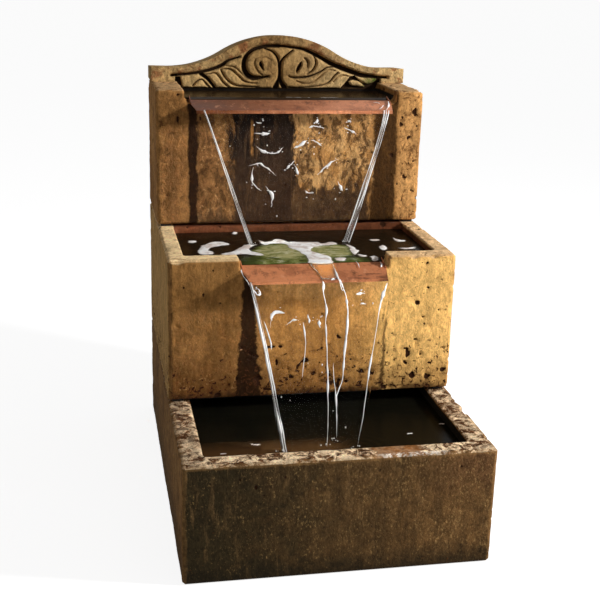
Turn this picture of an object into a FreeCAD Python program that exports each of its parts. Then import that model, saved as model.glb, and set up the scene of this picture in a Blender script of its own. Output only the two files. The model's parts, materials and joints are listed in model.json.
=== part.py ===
import FreeCAD, Part
import math
import operator
import os

import Sketcher
from FreeCAD import Placement, Rotation, Vector

# Stepped cast-stone fountain: a base basin, a middle step with a pool, an upper step with a trough,
# an arched crest, two copper spillways, and a submersible pump with its riser hose.
# +Z is up, +X is to the right seen from the front, the front faces -Y.
# The origin is on the ground, in the middle of the base basin.

doc = FreeCAD.newDocument("StepFountain")

# Driving dimensions, in millimetres unless the note says otherwise
SIZES = [
    ("width", 610, "outer width that every tier and the crest share"),
    ("base_depth", 890, "front to back of the base basin"),
    ("base_height", 243, "ground to the rim of the base basin"),
    ("base_wall", 45, "side and back walls of the base basin"),
    ("base_front_wall", 48, "front wall of the base basin"),
    ("base_floor", 45, "floor of the base basin"),
    ("tier_gap", 6, "setting pads, the dark joint under a tier"),
    ("middle_depth", 575, "front to back of the middle tier"),
    ("middle_height", 301, "underside to rim of the middle tier"),
    ("middle_wall", 38, "side and back walls of the middle tier"),
    ("middle_front_wall", 40, "front wall of the middle tier"),
    ("middle_pool", 110, "rim to floor of the middle pool"),
    ("middle_floor", 38, "floor of the middle pool"),
    ("partition", 36, "wall between the middle pool and the hose shaft"),
    ("middle_notch_width", 312, "spill notch in the middle rim"),
    ("middle_notch_depth", 20, "rim to the back edge of the middle spill notch"),
    ("upper_depth", 277, "front to back of the upper tier"),
    ("upper_height", 301, "underside to cheek tops of the upper tier"),
    ("upper_wall", 40, "front, side and back walls of the upper tier"),
    ("cheek", 62, "stone on each side of the upper trough"),
    ("trough", 92, "cheek tops to floor of the upper trough"),
    ("trough_floor", 36, "floor of the upper trough"),
    ("upper_notch_depth", 23, "cheek tops to the back edge of the upper spill notch"),
    ("crest_seat", 16, "how far the crest drops between the cheeks"),
    ("corner_round", 5, "upright outer corners of the stones"),
    ("edge_round", 3, "worn outer edges of the stones"),
    ("cord_slot_width", 34, "slot for the pump lead in the back of the middle tier"),
    ("cord_slot_height", 24, "height of that slot"),
    ("pad_length", 60, "setting pads along the wall"),
    ("pad_width", 22, "setting pads across the wall"),
    ("pad_inset", 9, "pads in from the outer faces"),
    ("crest_depth", 104, "front to back of the crest"),
    ("crest_end", 35, "cheek tops to the crest's shoulders"),
    ("crest_rise", 75, "shoulders to apex of the crest"),
    ("crest_shoulder", 43, "flat top at each end of the crest"),
    ("crest_wash", 6, "how far the top of the crest falls towards its back"),
    ("crest_border", 25, "raised border under the arch"),
    ("relief", 15, "depth of the carved field behind the border"),
    ("field_margin", 6, "plain strip beside the carved field"),
    ("carving_gap", 4, "dark line between the border and the carving"),
    ("volute_radius", 38, "outer radius of each volute"),
    ("volute_gap", 5, "half of the gap between the two volutes"),
    ("volute_groove", 3.2, "width of the spiral groove"),
    ("volute_groove_depth", 6, "depth of the spiral groove"),
    ("leaf_start", 26, "centre line to the root of the first leaf"),
    ("leaf_step", 64, "root to root along the leaves"),
    ("leaf_reach", 116, "root to tip of the first leaf"),
    ("leaf_shrink", 16, "how much shorter each next leaf is"),
    ("leaf_relief", 8, "height of a leaf over the carved field"),
    ("leaf_rim", 6, "rolled rim along the top of a leaf"),
    ("dowel_radius", 6, "pins under the crest"),
    ("dowel_length", 70, "length of those pins"),
    ("dowel_spread", 390, "distance between those pins"),
    ("copper", 1.6, "copper sheet of the spillways"),
    ("lip_projection", 46, "how far a spillway reaches past the stone face"),
    ("lip_pitch", 0.2, "fall of a spillway per millimetre of run"),
    ("lip_leg", 26, "leg of a spillway down the inside of the wall"),
    ("lip_hem", 5, "turned-down edge of a spillway"),
    ("middle_lip_gap", 4, "middle spillway to each side of its notch"),
    ("upper_lip_gap", 14, "upper spillway to each side of its notch"),
    ("lip_taper", 9, "how much narrower each end of the spillway is at its front"),
    ("lip_ear", 5, "turned-up ends of a spillway"),
    ("fit_gap", 0.2, "clearance between a seated piece and its seat"),
    ("running_gap", 0.06, "radial clearance of a turning piece"),
    ("pump_setback", 420, "back face of the fountain to the pump outlet"),
    ("pump_width", 76, "pump across"),
    ("pump_height", 72, "pump block from bottom to top"),
    ("motor_length", 70, "length of the motor housing"),
    ("volute_length", 34, "length of the impeller chamber block"),
    ("chamber_radius", 27, "impeller chamber"),
    ("chamber_length", 24, "depth of the impeller chamber"),
    ("well_radius", 13, "rotor well"),
    ("well_length", 58, "depth of the rotor well"),
    ("block_round", 8, "long edges of the pump block"),
    ("shaft_radius", 2, "ceramic impeller shaft"),
    ("bush_radius", 4, "end bushes of the shaft"),
    ("bush_length", 8, "length of an end bush"),
    ("stem_radius", 5, "impeller stem inside the magnet"),
    ("magnet_radius", 12, "rotor magnet"),
    ("blade_radius", 23, "impeller blades"),
    ("blade_width", 14, "impeller blades along the shaft"),
    ("blade_thickness", 2, "impeller blades across"),
    ("blade_count", 6, "number of impeller blades"),
    ("shroud", 2, "disc that carries the blades"),
    ("end_play", 2, "axial play of the rotor at each end"),
    ("plate", 5, "inlet plate thickness"),
    ("inlet_hole", 5.5, "radius of each inlet hole"),
    ("inlet_pitch", 14, "radius of the circle of inlet holes"),
    ("hub_radius", 6, "pivot of the flow regulator"),
    ("hub_length", 9, "length of that pivot"),
    ("regulator_radius", 23, "flow regulator disc"),
    ("regulator", 3, "flow regulator thickness"),
    ("clip_radius", 10, "retaining clip of the regulator"),
    ("clip", 1.5, "thickness of that clip"),
    ("strainer_length", 50, "intake strainer"),
    ("strainer_wall", 2.5, "wall of the intake strainer"),
    ("grille", 2.5, "slotted front of the intake strainer"),
    ("slot_width", 4, "slots of the grille"),
    ("slot_count", 8, "number of slots in the grille"),
    ("foot_height", 10, "suction feet"),
    ("foot_radius", 11, "suction feet at the floor"),
    ("foot_stub", 4, "radius of the stub that plugs into the housing"),
    ("screw_radius", 1.8, "pump screws"),
    ("screw_head", 3.5, "radius of the heads of the pump screws"),
    ("gland_radius", 9, "lead gland on the pump"),
    ("gland_length", 14, "length of that gland"),
    ("outlet_radius", 7, "outlet bore of the pump"),
    ("outlet_boss", 10.5, "radius of the outlet boss"),
    ("outlet_boss_height", 8, "height of the outlet boss"),
    ("flange", 4, "collar of the hose adaptor"),
    ("barb_radius", 7.6, "barbs that the hose pushes over"),
    ("barb_length", 30, "length of a barbed spigot"),
    ("barb_bore", 5, "bore of the barbed spigots"),
    ("hose_bore", 7.8, "inner radius of the riser hose"),
    ("hose_wall", 2.8, "wall of the riser hose"),
    ("hose_rise", 36, "straight run of the hose above the pump"),
    ("clamp_width", 10, "hose clamps along the hose"),
    ("clamp_wall", 1.6, "band of a hose clamp"),
    ("bulkhead_setback", 172, "back face of the fountain to the bulkhead"),
    ("bulkhead_radius", 13, "shank of the bulkhead fitting"),
    ("bulkhead_flange", 23, "radius of the flange and seal of the bulkhead"),
    ("bulkhead_flange_height", 6, "thickness of that flange"),
    ("seal", 3, "rubber seal under the flange"),
    ("nut_radius", 22, "corner radius of the bulkhead nut"),
    ("nut_height", 11, "thickness of the bulkhead nut"),
    ("shank_tail", 6, "shank showing under the nut"),
    ("plug_radius", 15, "drain hole in the base floor"),
    ("plug_length", 34, "drain plug inside the hole"),
    ("plug_flange", 22, "radius of the plug's flange"),
    ("plug_flange_height", 6, "thickness of that flange"),
    ("plug_side", 170, "centre line to the drain plug"),
    ("plug_setback", 710, "back face of the fountain to the drain plug"),
]

sheet = doc.addObject("Spreadsheet::Sheet", "Sizes")


class Size:
    """A length as a formula of the sheet's names, with the number that the formula gives now."""

    def __init__(self, text, value):
        self.text = text
        self.value = value

    def __add__(self, other):
        return combine(self, "+", other)

    def __sub__(self, other):
        return combine(self, "-", other)

    def __mul__(self, other):
        return combine(self, "*", other)

    def __truediv__(self, other):
        return combine(self, "/", other)

    def __neg__(self):
        return combine(ZERO, "-", self)


WORK = {"+": operator.add, "-": operator.sub, "*": operator.mul, "/": operator.truediv}


def as_size(number):
    return number if isinstance(number, Size) else Size(repr(number), number)


def combine(left, sign, right):
    right = as_size(right)
    return Size(f"({left.text} {sign} {right.text})", WORK[sign](left.value, right.value))


ZERO = as_size(0)


class Named:
    """The driving dimensions by name."""


size = Named()
for row, (alias, number, note) in enumerate(SIZES, start=1):
    sheet.set(f"A{row}", note)
    sheet.set(f"B{row}", str(number))
    sheet.setAlias(f"B{row}", alias)
    setattr(size, alias, Size(f"Sizes.{alias}", number))
doc.recompute()

SPARE = 5          # how far a cutting tool runs past the stone
MINUS_X = -1
PLUS_X = 1
BOTH_SIDES = (MINUS_X, PLUS_X)
FACING_FRONT = Rotation(Vector(1, 0, 0), 90)      # turns a piece's own +Z towards the front

back = size.base_depth / 2
middle_base = size.base_height + size.tier_gap
middle_top = middle_base + size.middle_height
upper_base = middle_top + size.tier_gap
upper_top = upper_base + size.upper_height

finished = {}


def finish(thing, label):
    """Name a finished sub-part, so that it is checked and written under that name."""
    thing.Label = label
    finished[label] = thing
    return thing


def bind(thing, name, formula):
    thing.setExpression(name, as_size(formula).text)


def place(thing, x=ZERO, y=ZERO, z=ZERO, turn=None):
    """Put a piece at a point worked out from the sheet."""
    if turn is not None:
        thing.Placement = Placement(Vector(), turn)
    bind(thing, "Placement.Base.x", x)
    bind(thing, "Placement.Base.y", y)
    bind(thing, "Placement.Base.z", z)
    return thing


# Sketches and features of a body

def new_body(name):
    return doc.addObject("PartDesign::Body", name)


def sketch_on(body, plane, name, lift=None):
    sketch = body.newObject("Sketcher::SketchObject", name)
    origin_plane = next(item for item in body.Origin.OriginFeatures if item.Role == plane)
    sketch.AttachmentSupport = [(origin_plane, "")]
    sketch.MapMode = "FlatFace"
    if lift is not None:
        bind(sketch, "AttachmentOffset.Base.z", lift)
    return sketch


def pin_point(sketch, geometry, vertex, x, y):
    """Tie one point of a sketch to its distances from the sketch's origin."""
    for kind, axis, distance in (("DistanceX", -2, x), ("DistanceY", -1, y)):
        distance = as_size(distance)
        if distance is ZERO or distance.text == "0":
            sketch.addConstraint(Sketcher.Constraint("PointOnObject", geometry, vertex, axis))
        else:
            rule = Sketcher.Constraint(kind, -1, 1, geometry, vertex, distance.value)
            number = sketch.addConstraint(rule)
            bind(sketch, f"Constraints[{number}]", distance)


def outline(sketch, corners):
    """A closed outline of straight lines through the corners."""
    spots = [Vector(as_size(x).value, as_size(y).value, 0) for x, y in corners]
    first = sketch.GeometryCount
    count = len(spots)
    for index in range(count):
        line = Part.LineSegment(spots[index], spots[(index + 1) % count])
        sketch.addGeometry(line, False)
    for index in range(count):
        following = first + (index + 1) % count
        sketch.addConstraint(Sketcher.Constraint("Coincident", first + index, 2, following, 1))
    for index, (x, y) in enumerate(corners):
        pin_point(sketch, first + index, 1, x, y)


def rectangle(sketch, across, low, high):
    """A rectangle centred on the sketch's upright axis, between two heights of the sketch."""
    half = across / 2
    outline(sketch, [(-half, low), (half, low), (half, high), (-half, high)])


def circle(sketch, radius, x, y):
    spot = Vector(as_size(x).value, as_size(y).value, 0)
    number = sketch.addGeometry(Part.Circle(spot, Vector(0, 0, 1), radius.value), False)
    pin_point(sketch, number, 3, x, y)
    rule = sketch.addConstraint(Sketcher.Constraint("Radius", number, radius.value))
    bind(sketch, f"Constraints[{rule}]", radius)


def feature(body, kind, name, sketch, length, symmetric=False, reverse=False):
    before = body.Shape.Volume if body.Tip else 0
    made = body.newObject(f"PartDesign::{kind}", name)
    made.Profile = sketch
    made.Reversed = reverse
    if symmetric:
        made.SideType = "Symmetric"
    bind(made, "Length", length)
    doc.recompute()
    gained = body.Shape.Volume - before
    if (gained > 0) != (kind == "Pad"):
        raise RuntimeError(f"{name} changed nothing")
    return made


def pad(body, name, sketch, length, **ways):
    return feature(body, "Pad", name, sketch, length, **ways)


def pocket(body, name, sketch, length, **ways):
    return feature(body, "Pocket", name, sketch, length, **ways)


def round_edges(body, name, radius, wanted):
    """Round the edges of the body whose middle and direction pass the test."""
    names = []
    for number, edge in enumerate(body.Shape.Edges, start=1):
        middle = edge.valueAt((edge.FirstParameter + edge.LastParameter) / 2)
        direction = edge.tangentAt((edge.FirstParameter + edge.LastParameter) / 2)
        if wanted(middle, direction):
            names.append(f"Edge{number}")
    base = body.Tip
    fillet = body.newObject("PartDesign::Fillet", name)
    fillet.Base = (base, names)
    bind(fillet, "Radius", radius)
    body.Tip = fillet
    doc.recompute()


def near(number, target):
    return abs(number - target) < 0.01


def round_block(body, depth, height, bottom_too):
    """Round the upright outer corners of a stone, then its top edges and perhaps its bottom edges."""
    half = size.width.value / 2

    def upright_corner(middle, direction):
        corner = near(abs(middle.x), half) and (near(middle.y, 0) or near(middle.y, -depth.value))
        return corner and near(abs(direction.z), 1)

    def on_outside(middle):
        slack = size.corner_round.value
        sides = abs(middle.x) > half - slack
        return sides or middle.y > -slack or middle.y < slack - depth.value

    def outer_edge(middle, direction):
        levels = [height.value] + ([0] if bottom_too else [])
        level = any(near(middle.z, target) for target in levels)
        return level and near(direction.z, 0) and on_outside(middle)

    round_edges(body, "RoundCorners", size.corner_round, upright_corner)
    round_edges(body, "RoundEdges", size.edge_round, outer_edge)


def spill_notch(body, depth, wall, height, notch_depth, notch_width):
    """Cut the front rim down to a floor that falls towards the front, for a spillway to lie on."""
    sketch = sketch_on(body, "YZ_Plane", "NotchSketch")
    inner = -(depth - wall)
    outer = -(depth + SPARE)
    low = height - notch_depth
    outline(sketch, [
        (inner, low),
        (inner, height + SPARE),
        (outer, height + SPARE),
        (outer, low - (wall + SPARE) * size.lip_pitch),
    ])
    pocket(body, "Notch", sketch, notch_width, symmetric=True)


# The stones. Each has its own origin at the middle of its back edge, on its underside.

def make_lower_basin():
    body = new_body("LowerBasin")
    sketch = sketch_on(body, "XY_Plane", "BlockSketch")
    rectangle(sketch, size.width, -size.base_depth, ZERO)
    pad(body, "Block", sketch, size.base_height)
    sketch = sketch_on(body, "XY_Plane", "PoolSketch", size.base_height)
    inner_front = -(size.base_depth - size.base_front_wall)
    rectangle(sketch, size.width - size.base_wall * 2, inner_front, -size.base_wall)
    pocket(body, "Pool", sketch, size.base_height - size.base_floor)
    sketch = sketch_on(body, "XY_Plane", "DrainSketch", size.base_floor)
    circle(sketch, size.plug_radius, -size.plug_side, -size.plug_setback)
    pocket(body, "Drain", sketch, size.base_floor)
    round_block(body, size.base_depth, size.base_height, bottom_too=True)
    place(body, y=back)
    return finish(body, "lower_basin")


def make_middle_tier():
    body = new_body("MiddleTier")
    inside = size.width - size.middle_wall * 2
    inner_front = -(size.middle_depth - size.middle_front_wall)
    pool_back = -size.upper_depth
    pool_floor = size.middle_height - size.middle_pool
    sketch = sketch_on(body, "XY_Plane", "BlockSketch")
    rectangle(sketch, size.width, -size.middle_depth, ZERO)
    pad(body, "Block", sketch, size.middle_height)
    sketch = sketch_on(body, "XY_Plane", "PoolSketch", size.middle_height)
    rectangle(sketch, inside, inner_front, pool_back)
    pocket(body, "Pool", sketch, size.middle_pool)
    sketch = sketch_on(body, "XY_Plane", "ShaftSketch", size.middle_height)
    rectangle(sketch, inside, pool_back + size.partition, -size.middle_wall)
    pocket(body, "HoseShaft", sketch, size.middle_height)
    sketch = sketch_on(body, "XY_Plane", "ChamberSketch")
    rectangle(sketch, inside, inner_front, -size.middle_wall)
    pocket(body, "PumpChamber", sketch, pool_floor - size.middle_floor, reverse=True)
    sketch = sketch_on(body, "XZ_Plane", "CordSlotSketch")
    rectangle(sketch, size.cord_slot_width, ZERO, size.cord_slot_height)
    pocket(body, "CordSlot", sketch, size.middle_wall, reverse=True)
    spill_notch(body, size.middle_depth, size.middle_front_wall, size.middle_height,
                size.middle_notch_depth, size.middle_notch_width)
    round_block(body, size.middle_depth, size.middle_height, bottom_too=False)
    place(body, y=back, z=middle_base)
    return finish(body, "middle_tier")


trough_width = size.width - size.cheek * 2
dowel_depth = size.dowel_length / 2


def dowel_sketch(body, lift):
    sketch = sketch_on(body, "XY_Plane", "DowelSketch", lift)
    for side in BOTH_SIDES:
        circle(sketch, size.dowel_radius + size.fit_gap, size.dowel_spread * side / 2, -size.crest_depth / 2)
    return sketch


def make_upper_tier():
    body = new_body("UpperTier")
    inner_front = -(size.upper_depth - size.upper_wall)
    trough_bed = size.upper_height - size.trough
    sketch = sketch_on(body, "XY_Plane", "BlockSketch")
    rectangle(sketch, size.width, -size.upper_depth, ZERO)
    pad(body, "Block", sketch, size.upper_height)
    sketch = sketch_on(body, "XY_Plane", "TroughSketch", size.upper_height)
    rectangle(sketch, trough_width, inner_front, -size.crest_depth)
    pocket(body, "Trough", sketch, size.trough)
    sketch = sketch_on(body, "XY_Plane", "SeatSketch", size.upper_height)
    rectangle(sketch, trough_width, -size.crest_depth, ZERO)
    pocket(body, "CrestSeat", sketch, size.crest_seat)
    sketch = sketch_on(body, "XY_Plane", "HollowSketch")
    rectangle(sketch, size.width - size.upper_wall * 2, inner_front, -size.upper_wall)
    pocket(body, "Hollow", sketch, trough_bed - size.trough_floor, reverse=True)
    sketch = sketch_on(body, "XY_Plane", "BulkheadSketch", trough_bed)
    circle(sketch, size.bulkhead_radius + size.fit_gap, ZERO, -size.bulkhead_setback)
    pocket(body, "BulkheadHole", sketch, size.trough_floor)
    sketch = dowel_sketch(body, size.upper_height - size.crest_seat)
    pocket(body, "DowelHoles", sketch, dowel_depth)
    spill_notch(body, size.upper_depth, size.upper_wall, size.upper_height,
                size.upper_notch_depth, trough_width)
    round_block(body, size.upper_depth, size.upper_height, bottom_too=False)
    place(body, y=back, z=upper_base)
    return finish(body, "upper_tier")


# The crest: an arch of equal hollow and round arcs on each side, with a carved field.
# It is drawn upright, seen from the front, with heights from the tops of the cheeks.

arch_run = size.width.value / 2 - size.crest_shoulder.value
arch_rise = size.crest_rise.value
arch_radius = (arch_run ** 2 + arch_rise ** 2) / (4 * arch_rise)
arch_turn = 2 * math.atan2(arch_rise, arch_run)
arch_apex = size.crest_end.value + arch_rise
field_bottom = -size.crest_seat.value
field_half = trough_width.value / 2 - size.field_margin.value


def upright(x, z):
    """A point of the crest's front view."""
    return Vector(x, 0, z)


def hollow_point(inset, turn):
    """A point of the hollow arc on the right, by its turn from the shoulder."""
    radius = arch_radius + inset
    return upright(arch_run - radius * math.sin(turn),
                   size.crest_end.value + arch_radius - radius * math.cos(turn))


def round_point(inset, turn):
    """A point of the round arc on the right, by its turn from the apex."""
    radius = arch_radius - inset
    return upright(radius * math.sin(turn), arch_apex - arch_radius + radius * math.cos(turn))


def arch_height(x, inset):
    """Height of the arch, set in by the given distance, over a point of the front view."""
    if x > hollow_point(inset, arch_turn).x:
        reach = min(1, (arch_run - min(x, arch_run)) / (arch_radius + inset))
        return hollow_point(inset, math.asin(reach)).z
    return round_point(inset, math.asin(x / (arch_radius - inset))).z


def mirrored(point):
    return Vector(-point.x, point.y, point.z)


def arch_edges(inset):
    """The arcs of the arch from the right shoulder over the apex to the left one."""
    half_turn = arch_turn / 2
    shoulder = hollow_point(inset, 0)
    middle = hollow_point(inset, half_turn)
    bend = hollow_point(inset, arch_turn)
    apex = round_point(inset, 0)
    return [
        Part.Arc(shoulder, middle, bend).toShape(),
        Part.Arc(bend, apex, mirrored(bend)).toShape(),
        Part.Arc(mirrored(bend), mirrored(middle), mirrored(shoulder)).toShape(),
    ]


def path_edges(points):
    return [Part.makeLine(start, end) for start, end in zip(points, points[1:])]


def front_solid(edges, low, high):
    """A solid from an outline of the front view, between two distances in front of the back face."""
    face = Part.Face(Part.Wire(edges))
    face.translate(Vector(0, -low, 0))
    return face.extrude(Vector(0, low - high, 0))


def under_arch():
    """The room under the arch, whose top falls towards the back so that rain runs off."""
    reach = size.width.value / 2 + SPARE
    right_points = [
        hollow_point(0, 0),
        upright(reach, size.crest_end.value),
        upright(reach, field_bottom - SPARE),
    ]
    right_side = path_edges(right_points)
    left_side = path_edges([mirrored(point) for point in right_points])
    floor = path_edges([right_points[-1], mirrored(right_points[-1])])
    face = Part.Face(Part.Wire(arch_edges(0) + left_side + floor + right_side))
    slope = size.crest_wash.value / size.crest_depth.value
    run = size.crest_depth.value + 2 * SPARE
    face.translate(Vector(0, SPARE, -size.crest_wash.value - slope * SPARE))
    return face.extrude(Vector(0, -run, slope * run))


def crest_slab():
    half = size.width.value / 2
    tongue = trough_width.value / 2 - size.fit_gap.value
    right_points = [
        upright(half, arch_apex + SPARE),
        upright(half, 0),
        upright(tongue, 0),
        upright(tongue, field_bottom),
    ]
    around = right_points + [mirrored(point) for point in reversed(right_points)]
    block = front_solid(path_edges(around + around[:1]), 0, size.crest_depth.value)
    slab = block.common(under_arch())
    inset = size.crest_border.value
    low_right = upright(arch_run, field_bottom - SPARE)
    frame = path_edges([hollow_point(inset, 0), low_right, mirrored(low_right),
                        mirrored(hollow_point(inset, 0))])
    field_floor = size.crest_depth.value - size.relief.value
    sunk = front_solid(arch_edges(inset) + frame, field_floor, size.crest_depth.value + SPARE)
    window_low = Vector(-field_half, -size.crest_depth.value - SPARE, field_bottom - SPARE)
    window = Part.makeBox(2 * field_half, size.relief.value + SPARE, arch_apex, window_low)
    return slab.cut(sunk.common(window))


def half_ring(middle_x, middle_z, radius, width, upper):
    """The outline of half a ring, as a piece of a spiral made of half circles."""
    sign = 1 if upper else -1
    outer = radius + width / 2
    inner = radius - width / 2
    return [
        Part.Arc(upright(middle_x - outer, middle_z), upright(middle_x, middle_z + sign * outer),
                 upright(middle_x + outer, middle_z)).toShape(),
        Part.makeLine(upright(middle_x + outer, middle_z), upright(middle_x + inner, middle_z)),
        Part.Arc(upright(middle_x + inner, middle_z), upright(middle_x, middle_z + sign * inner),
                 upright(middle_x - inner, middle_z)).toShape(),
        Part.makeLine(upright(middle_x - inner, middle_z), upright(middle_x - outer, middle_z)),
    ]


SPIRAL_SHARES = (0.66, 0.46, 0.30)      # radius of each half turn of the groove, over the volute's
EYE_REACH = 0.24                        # half height of the eye, over the volute's radius
EYE_SWELL = 0.12                        # how far each side of the eye bows out
FOOT_ROUND = 0.5                        # radius of the heel of a volute's foot
HEEL_BOW = 0.15                         # how far that heel's arc stays off its corner


def make_volute():
    """The right volute: a disc on a foot, with a spiral groove and an eye cut into its face."""
    radius = size.volute_radius.value
    middle_x = size.volute_gap.value + radius
    top = arch_height(middle_x, size.crest_border.value + size.carving_gap.value)
    middle_z = top - radius
    field_floor = size.crest_depth.value - size.relief.value
    face = size.crest_depth.value
    disc = front_solid([Part.Circle(upright(middle_x, middle_z), Vector(0, 1, 0), radius).toShape()],
                       field_floor, face)
    left_x = size.volute_gap.value
    heel_high = upright(left_x, field_bottom + radius * FOOT_ROUND)
    heel_bow = upright(left_x + radius * HEEL_BOW, field_bottom + radius * HEEL_BOW)
    heel_low = upright(left_x + radius * FOOT_ROUND, field_bottom)
    foot = front_solid([
        Part.makeLine(upright(left_x, middle_z), heel_high),
        Part.Arc(heel_high, heel_bow, heel_low).toShape(),
        Part.makeLine(heel_low, upright(middle_x, field_bottom)),
        Part.makeLine(upright(middle_x, field_bottom), upright(middle_x, middle_z)),
        Part.makeLine(upright(middle_x, middle_z), upright(left_x, middle_z)),
    ], field_floor, face)
    volute = disc.fuse(foot)
    groove_floor = face - size.volute_groove_depth.value
    right_end = middle_x + radius * SPIRAL_SHARES[0]
    upper = False
    for share in SPIRAL_SHARES:
        turn_radius = radius * share
        turn_middle = right_end - turn_radius if not upper else left_end + turn_radius
        ring = half_ring(turn_middle, middle_z, turn_radius, size.volute_groove.value, upper)
        volute = volute.cut(front_solid(ring, groove_floor, face + SPARE))
        left_end = turn_middle - turn_radius
        right_end = turn_middle + turn_radius
        upper = not upper
    eye_high = upright(middle_x, middle_z + radius * EYE_REACH)
    eye_low = upright(middle_x, middle_z - radius * EYE_REACH)
    eye = front_solid([
        Part.Arc(eye_low, upright(middle_x - radius * EYE_SWELL, middle_z), eye_high).toShape(),
        Part.Arc(eye_high, upright(middle_x + radius * EYE_SWELL, middle_z), eye_low).toShape(),
    ], field_floor, face + SPARE)
    return volute.cut(eye)


def bezier(*poles):
    curve = Part.BezierCurve()
    curve.setPoles(list(poles))
    return curve.toShape()


LEAF_COUNT = 3
LEAF_BACK = 0.55           # where a leaf's back turns up, over its span
LEAF_BELLY = 0.75          # where its underside turns up
LEAF_BULGE = 0.35          # how high that underside bulges below the tip
RIM_LIFT = 1.5             # height of the rolled rim over the leaf's own


def make_leaf(number):
    """A leaf that runs out low from its root, then curls up to a tip under the border."""
    reach = size.leaf_reach.value - number * size.leaf_shrink.value
    root_x = size.leaf_start.value + number * size.leaf_step.value
    tip_x = min(root_x + reach, field_half - size.carving_gap.value)
    tip_z = arch_height(tip_x, size.crest_border.value + size.carving_gap.value)
    field_floor = size.crest_depth.value - size.relief.value
    span = tip_x - root_x
    root = upright(root_x, field_bottom)
    tip = upright(tip_x, tip_z - size.leaf_rim.value)
    back_low = upright(root_x + span * LEAF_BACK, field_bottom + size.leaf_rim.value)
    back_high = upright(root_x + span * LEAF_BACK, tip_z)
    belly_low = upright(root_x + span * LEAF_BELLY, field_bottom)
    belly_high = upright(tip_x - size.leaf_rim.value, field_bottom + (tip_z - field_bottom) * LEAF_BULGE)
    rim_drop = upright(0, -size.leaf_rim.value)
    blade = front_solid([bezier(root, back_low, back_high, tip), bezier(tip, belly_high, belly_low, root)],
                        field_floor, field_floor + size.leaf_relief.value)
    rim = front_solid([
        bezier(root, back_low, back_high, tip),
        Part.makeLine(tip, tip + rim_drop),
        bezier(tip + rim_drop, back_high + rim_drop, back_low + rim_drop, root + rim_drop),
        Part.makeLine(root + rim_drop, root),
    ], field_floor, field_floor + size.leaf_relief.value * RIM_LIFT)
    keep_low = Vector(0, -size.crest_depth.value - SPARE, field_bottom)
    keep = Part.makeBox(field_half, size.crest_depth.value + SPARE, arch_apex, keep_low)
    return blade.fuse(rim).common(keep)


WEDGE_REACH = 0.45         # half width of the piece between the volutes, over their radius
WEDGE_BOW = (0.35, 0.55)   # how far its sides bow in, over that half width


def make_wedge():
    """The small three-cornered piece between the tops of the two volutes."""
    inset = size.crest_border.value + size.carving_gap.value
    reach = size.volute_radius.value * WEDGE_REACH
    gap = size.volute_gap.value
    top = arch_height(reach, inset)
    field_floor = size.crest_depth.value - size.relief.value
    corner = upright(reach, top)
    point = upright(0, top - reach - gap)
    bow = upright(reach * WEDGE_BOW[0], top - reach * WEDGE_BOW[1])
    return front_solid([
        Part.makeLine(mirrored(corner), corner),
        Part.Arc(corner, bow, point).toShape(),
        Part.Arc(point, mirrored(bow), mirrored(corner)).toShape(),
    ], field_floor, size.crest_depth.value - size.relief.value / 3)


def make_crest():
    carving = [make_volute()] + [make_leaf(number) for number in range(LEAF_COUNT)]
    other_side = [solid.mirror(Vector(), Vector(1, 0, 0)) for solid in carving]
    whole = crest_slab().multiFuse(carving + other_side + [make_wedge()])
    for side in BOTH_SIDES:
        spot = Vector(side * size.dowel_spread.value / 2, -size.crest_depth.value / 2, field_bottom)
        radius = size.dowel_radius.value + size.fit_gap.value
        whole = whole.cut(Part.makeCylinder(radius, dowel_depth.value, spot))
    crest = doc.addObject("Part::Feature", "Crest")
    crest.Shape = whole.removeSplitter()
    place(crest, y=back, z=upper_top)
    return finish(crest, "crest")


# Copper spillways, in the frame of the tier that carries them

def make_spillway(label, depth, wall, height, notch_depth, across, base):
    body = new_body(label.title().replace("_", ""))
    run = wall + size.lip_projection
    bend_y = -(depth - wall) + size.fit_gap
    bend_z = height - notch_depth + size.fit_gap
    front_y = -(depth + size.lip_projection)
    front_z = bend_z - run * size.lip_pitch
    top_z = bend_z + size.copper
    leg_z = bend_z - size.lip_leg
    sketch = sketch_on(body, "YZ_Plane", "SheetSketch")
    outline(sketch, [
        (bend_y, leg_z),
        (bend_y, bend_z),
        (front_y, front_z),
        (front_y, front_z - size.lip_hem),
        (front_y - size.copper, front_z - size.lip_hem),
        (front_y - size.copper, front_z + size.copper),
        (bend_y + size.copper, top_z),
        (bend_y + size.copper, leg_z),
    ])
    pad(body, "Sheet", sketch, across, symmetric=True)
    ear_foot = bend_z - wall * size.lip_pitch
    ear = [
        (bend_y, bend_z),
        (bend_y, top_z + size.lip_ear),
        (-depth, ear_foot + size.copper + size.lip_ear / 2),
        (-depth, ear_foot),
    ]
    sketch = sketch_on(body, "YZ_Plane", "EarSketch")
    outline(sketch, ear)
    pad(body, "Ears", sketch, across, symmetric=True)
    sketch = sketch_on(body, "YZ_Plane", "BetweenSketch")
    outline(sketch, [
        (bend_y + SPARE, top_z + size.lip_pitch * SPARE),
        (bend_y + SPARE, top_z + size.lip_ear + SPARE),
        (front_y, top_z + size.lip_ear + SPARE),
        (front_y, front_z + size.copper),
    ])
    pocket(body, "BetweenEars", sketch, across - size.copper * 2, symmetric=True)
    sketch = sketch_on(body, "XY_Plane", "TaperSketch")
    for side in BOTH_SIDES:
        end = across / 2 * side
        tip = (across / 2 - size.lip_taper) * side
        front_edge = front_y - size.copper
        outline(sketch, [(end, -depth), (end, front_edge), (tip, front_edge)])
    pocket(body, "Taper", sketch, height * 2, symmetric=True)
    place(body, y=back, z=base)
    return finish(body, label)


# Setting pads and dowels

def boxes(label, places):
    """One node of separate blocks: each place is x, y, z and the three sides."""
    blocks = []
    for x, y, z, along_x, along_y, along_z in places:
        block = doc.addObject("Part::Box", f"{label}_block")
        bind(block, "Length", along_x)
        bind(block, "Width", along_y)
        bind(block, "Height", along_z)
        blocks.append(place(block, x, y, z))
    return finish(group(label, blocks), label)


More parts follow.
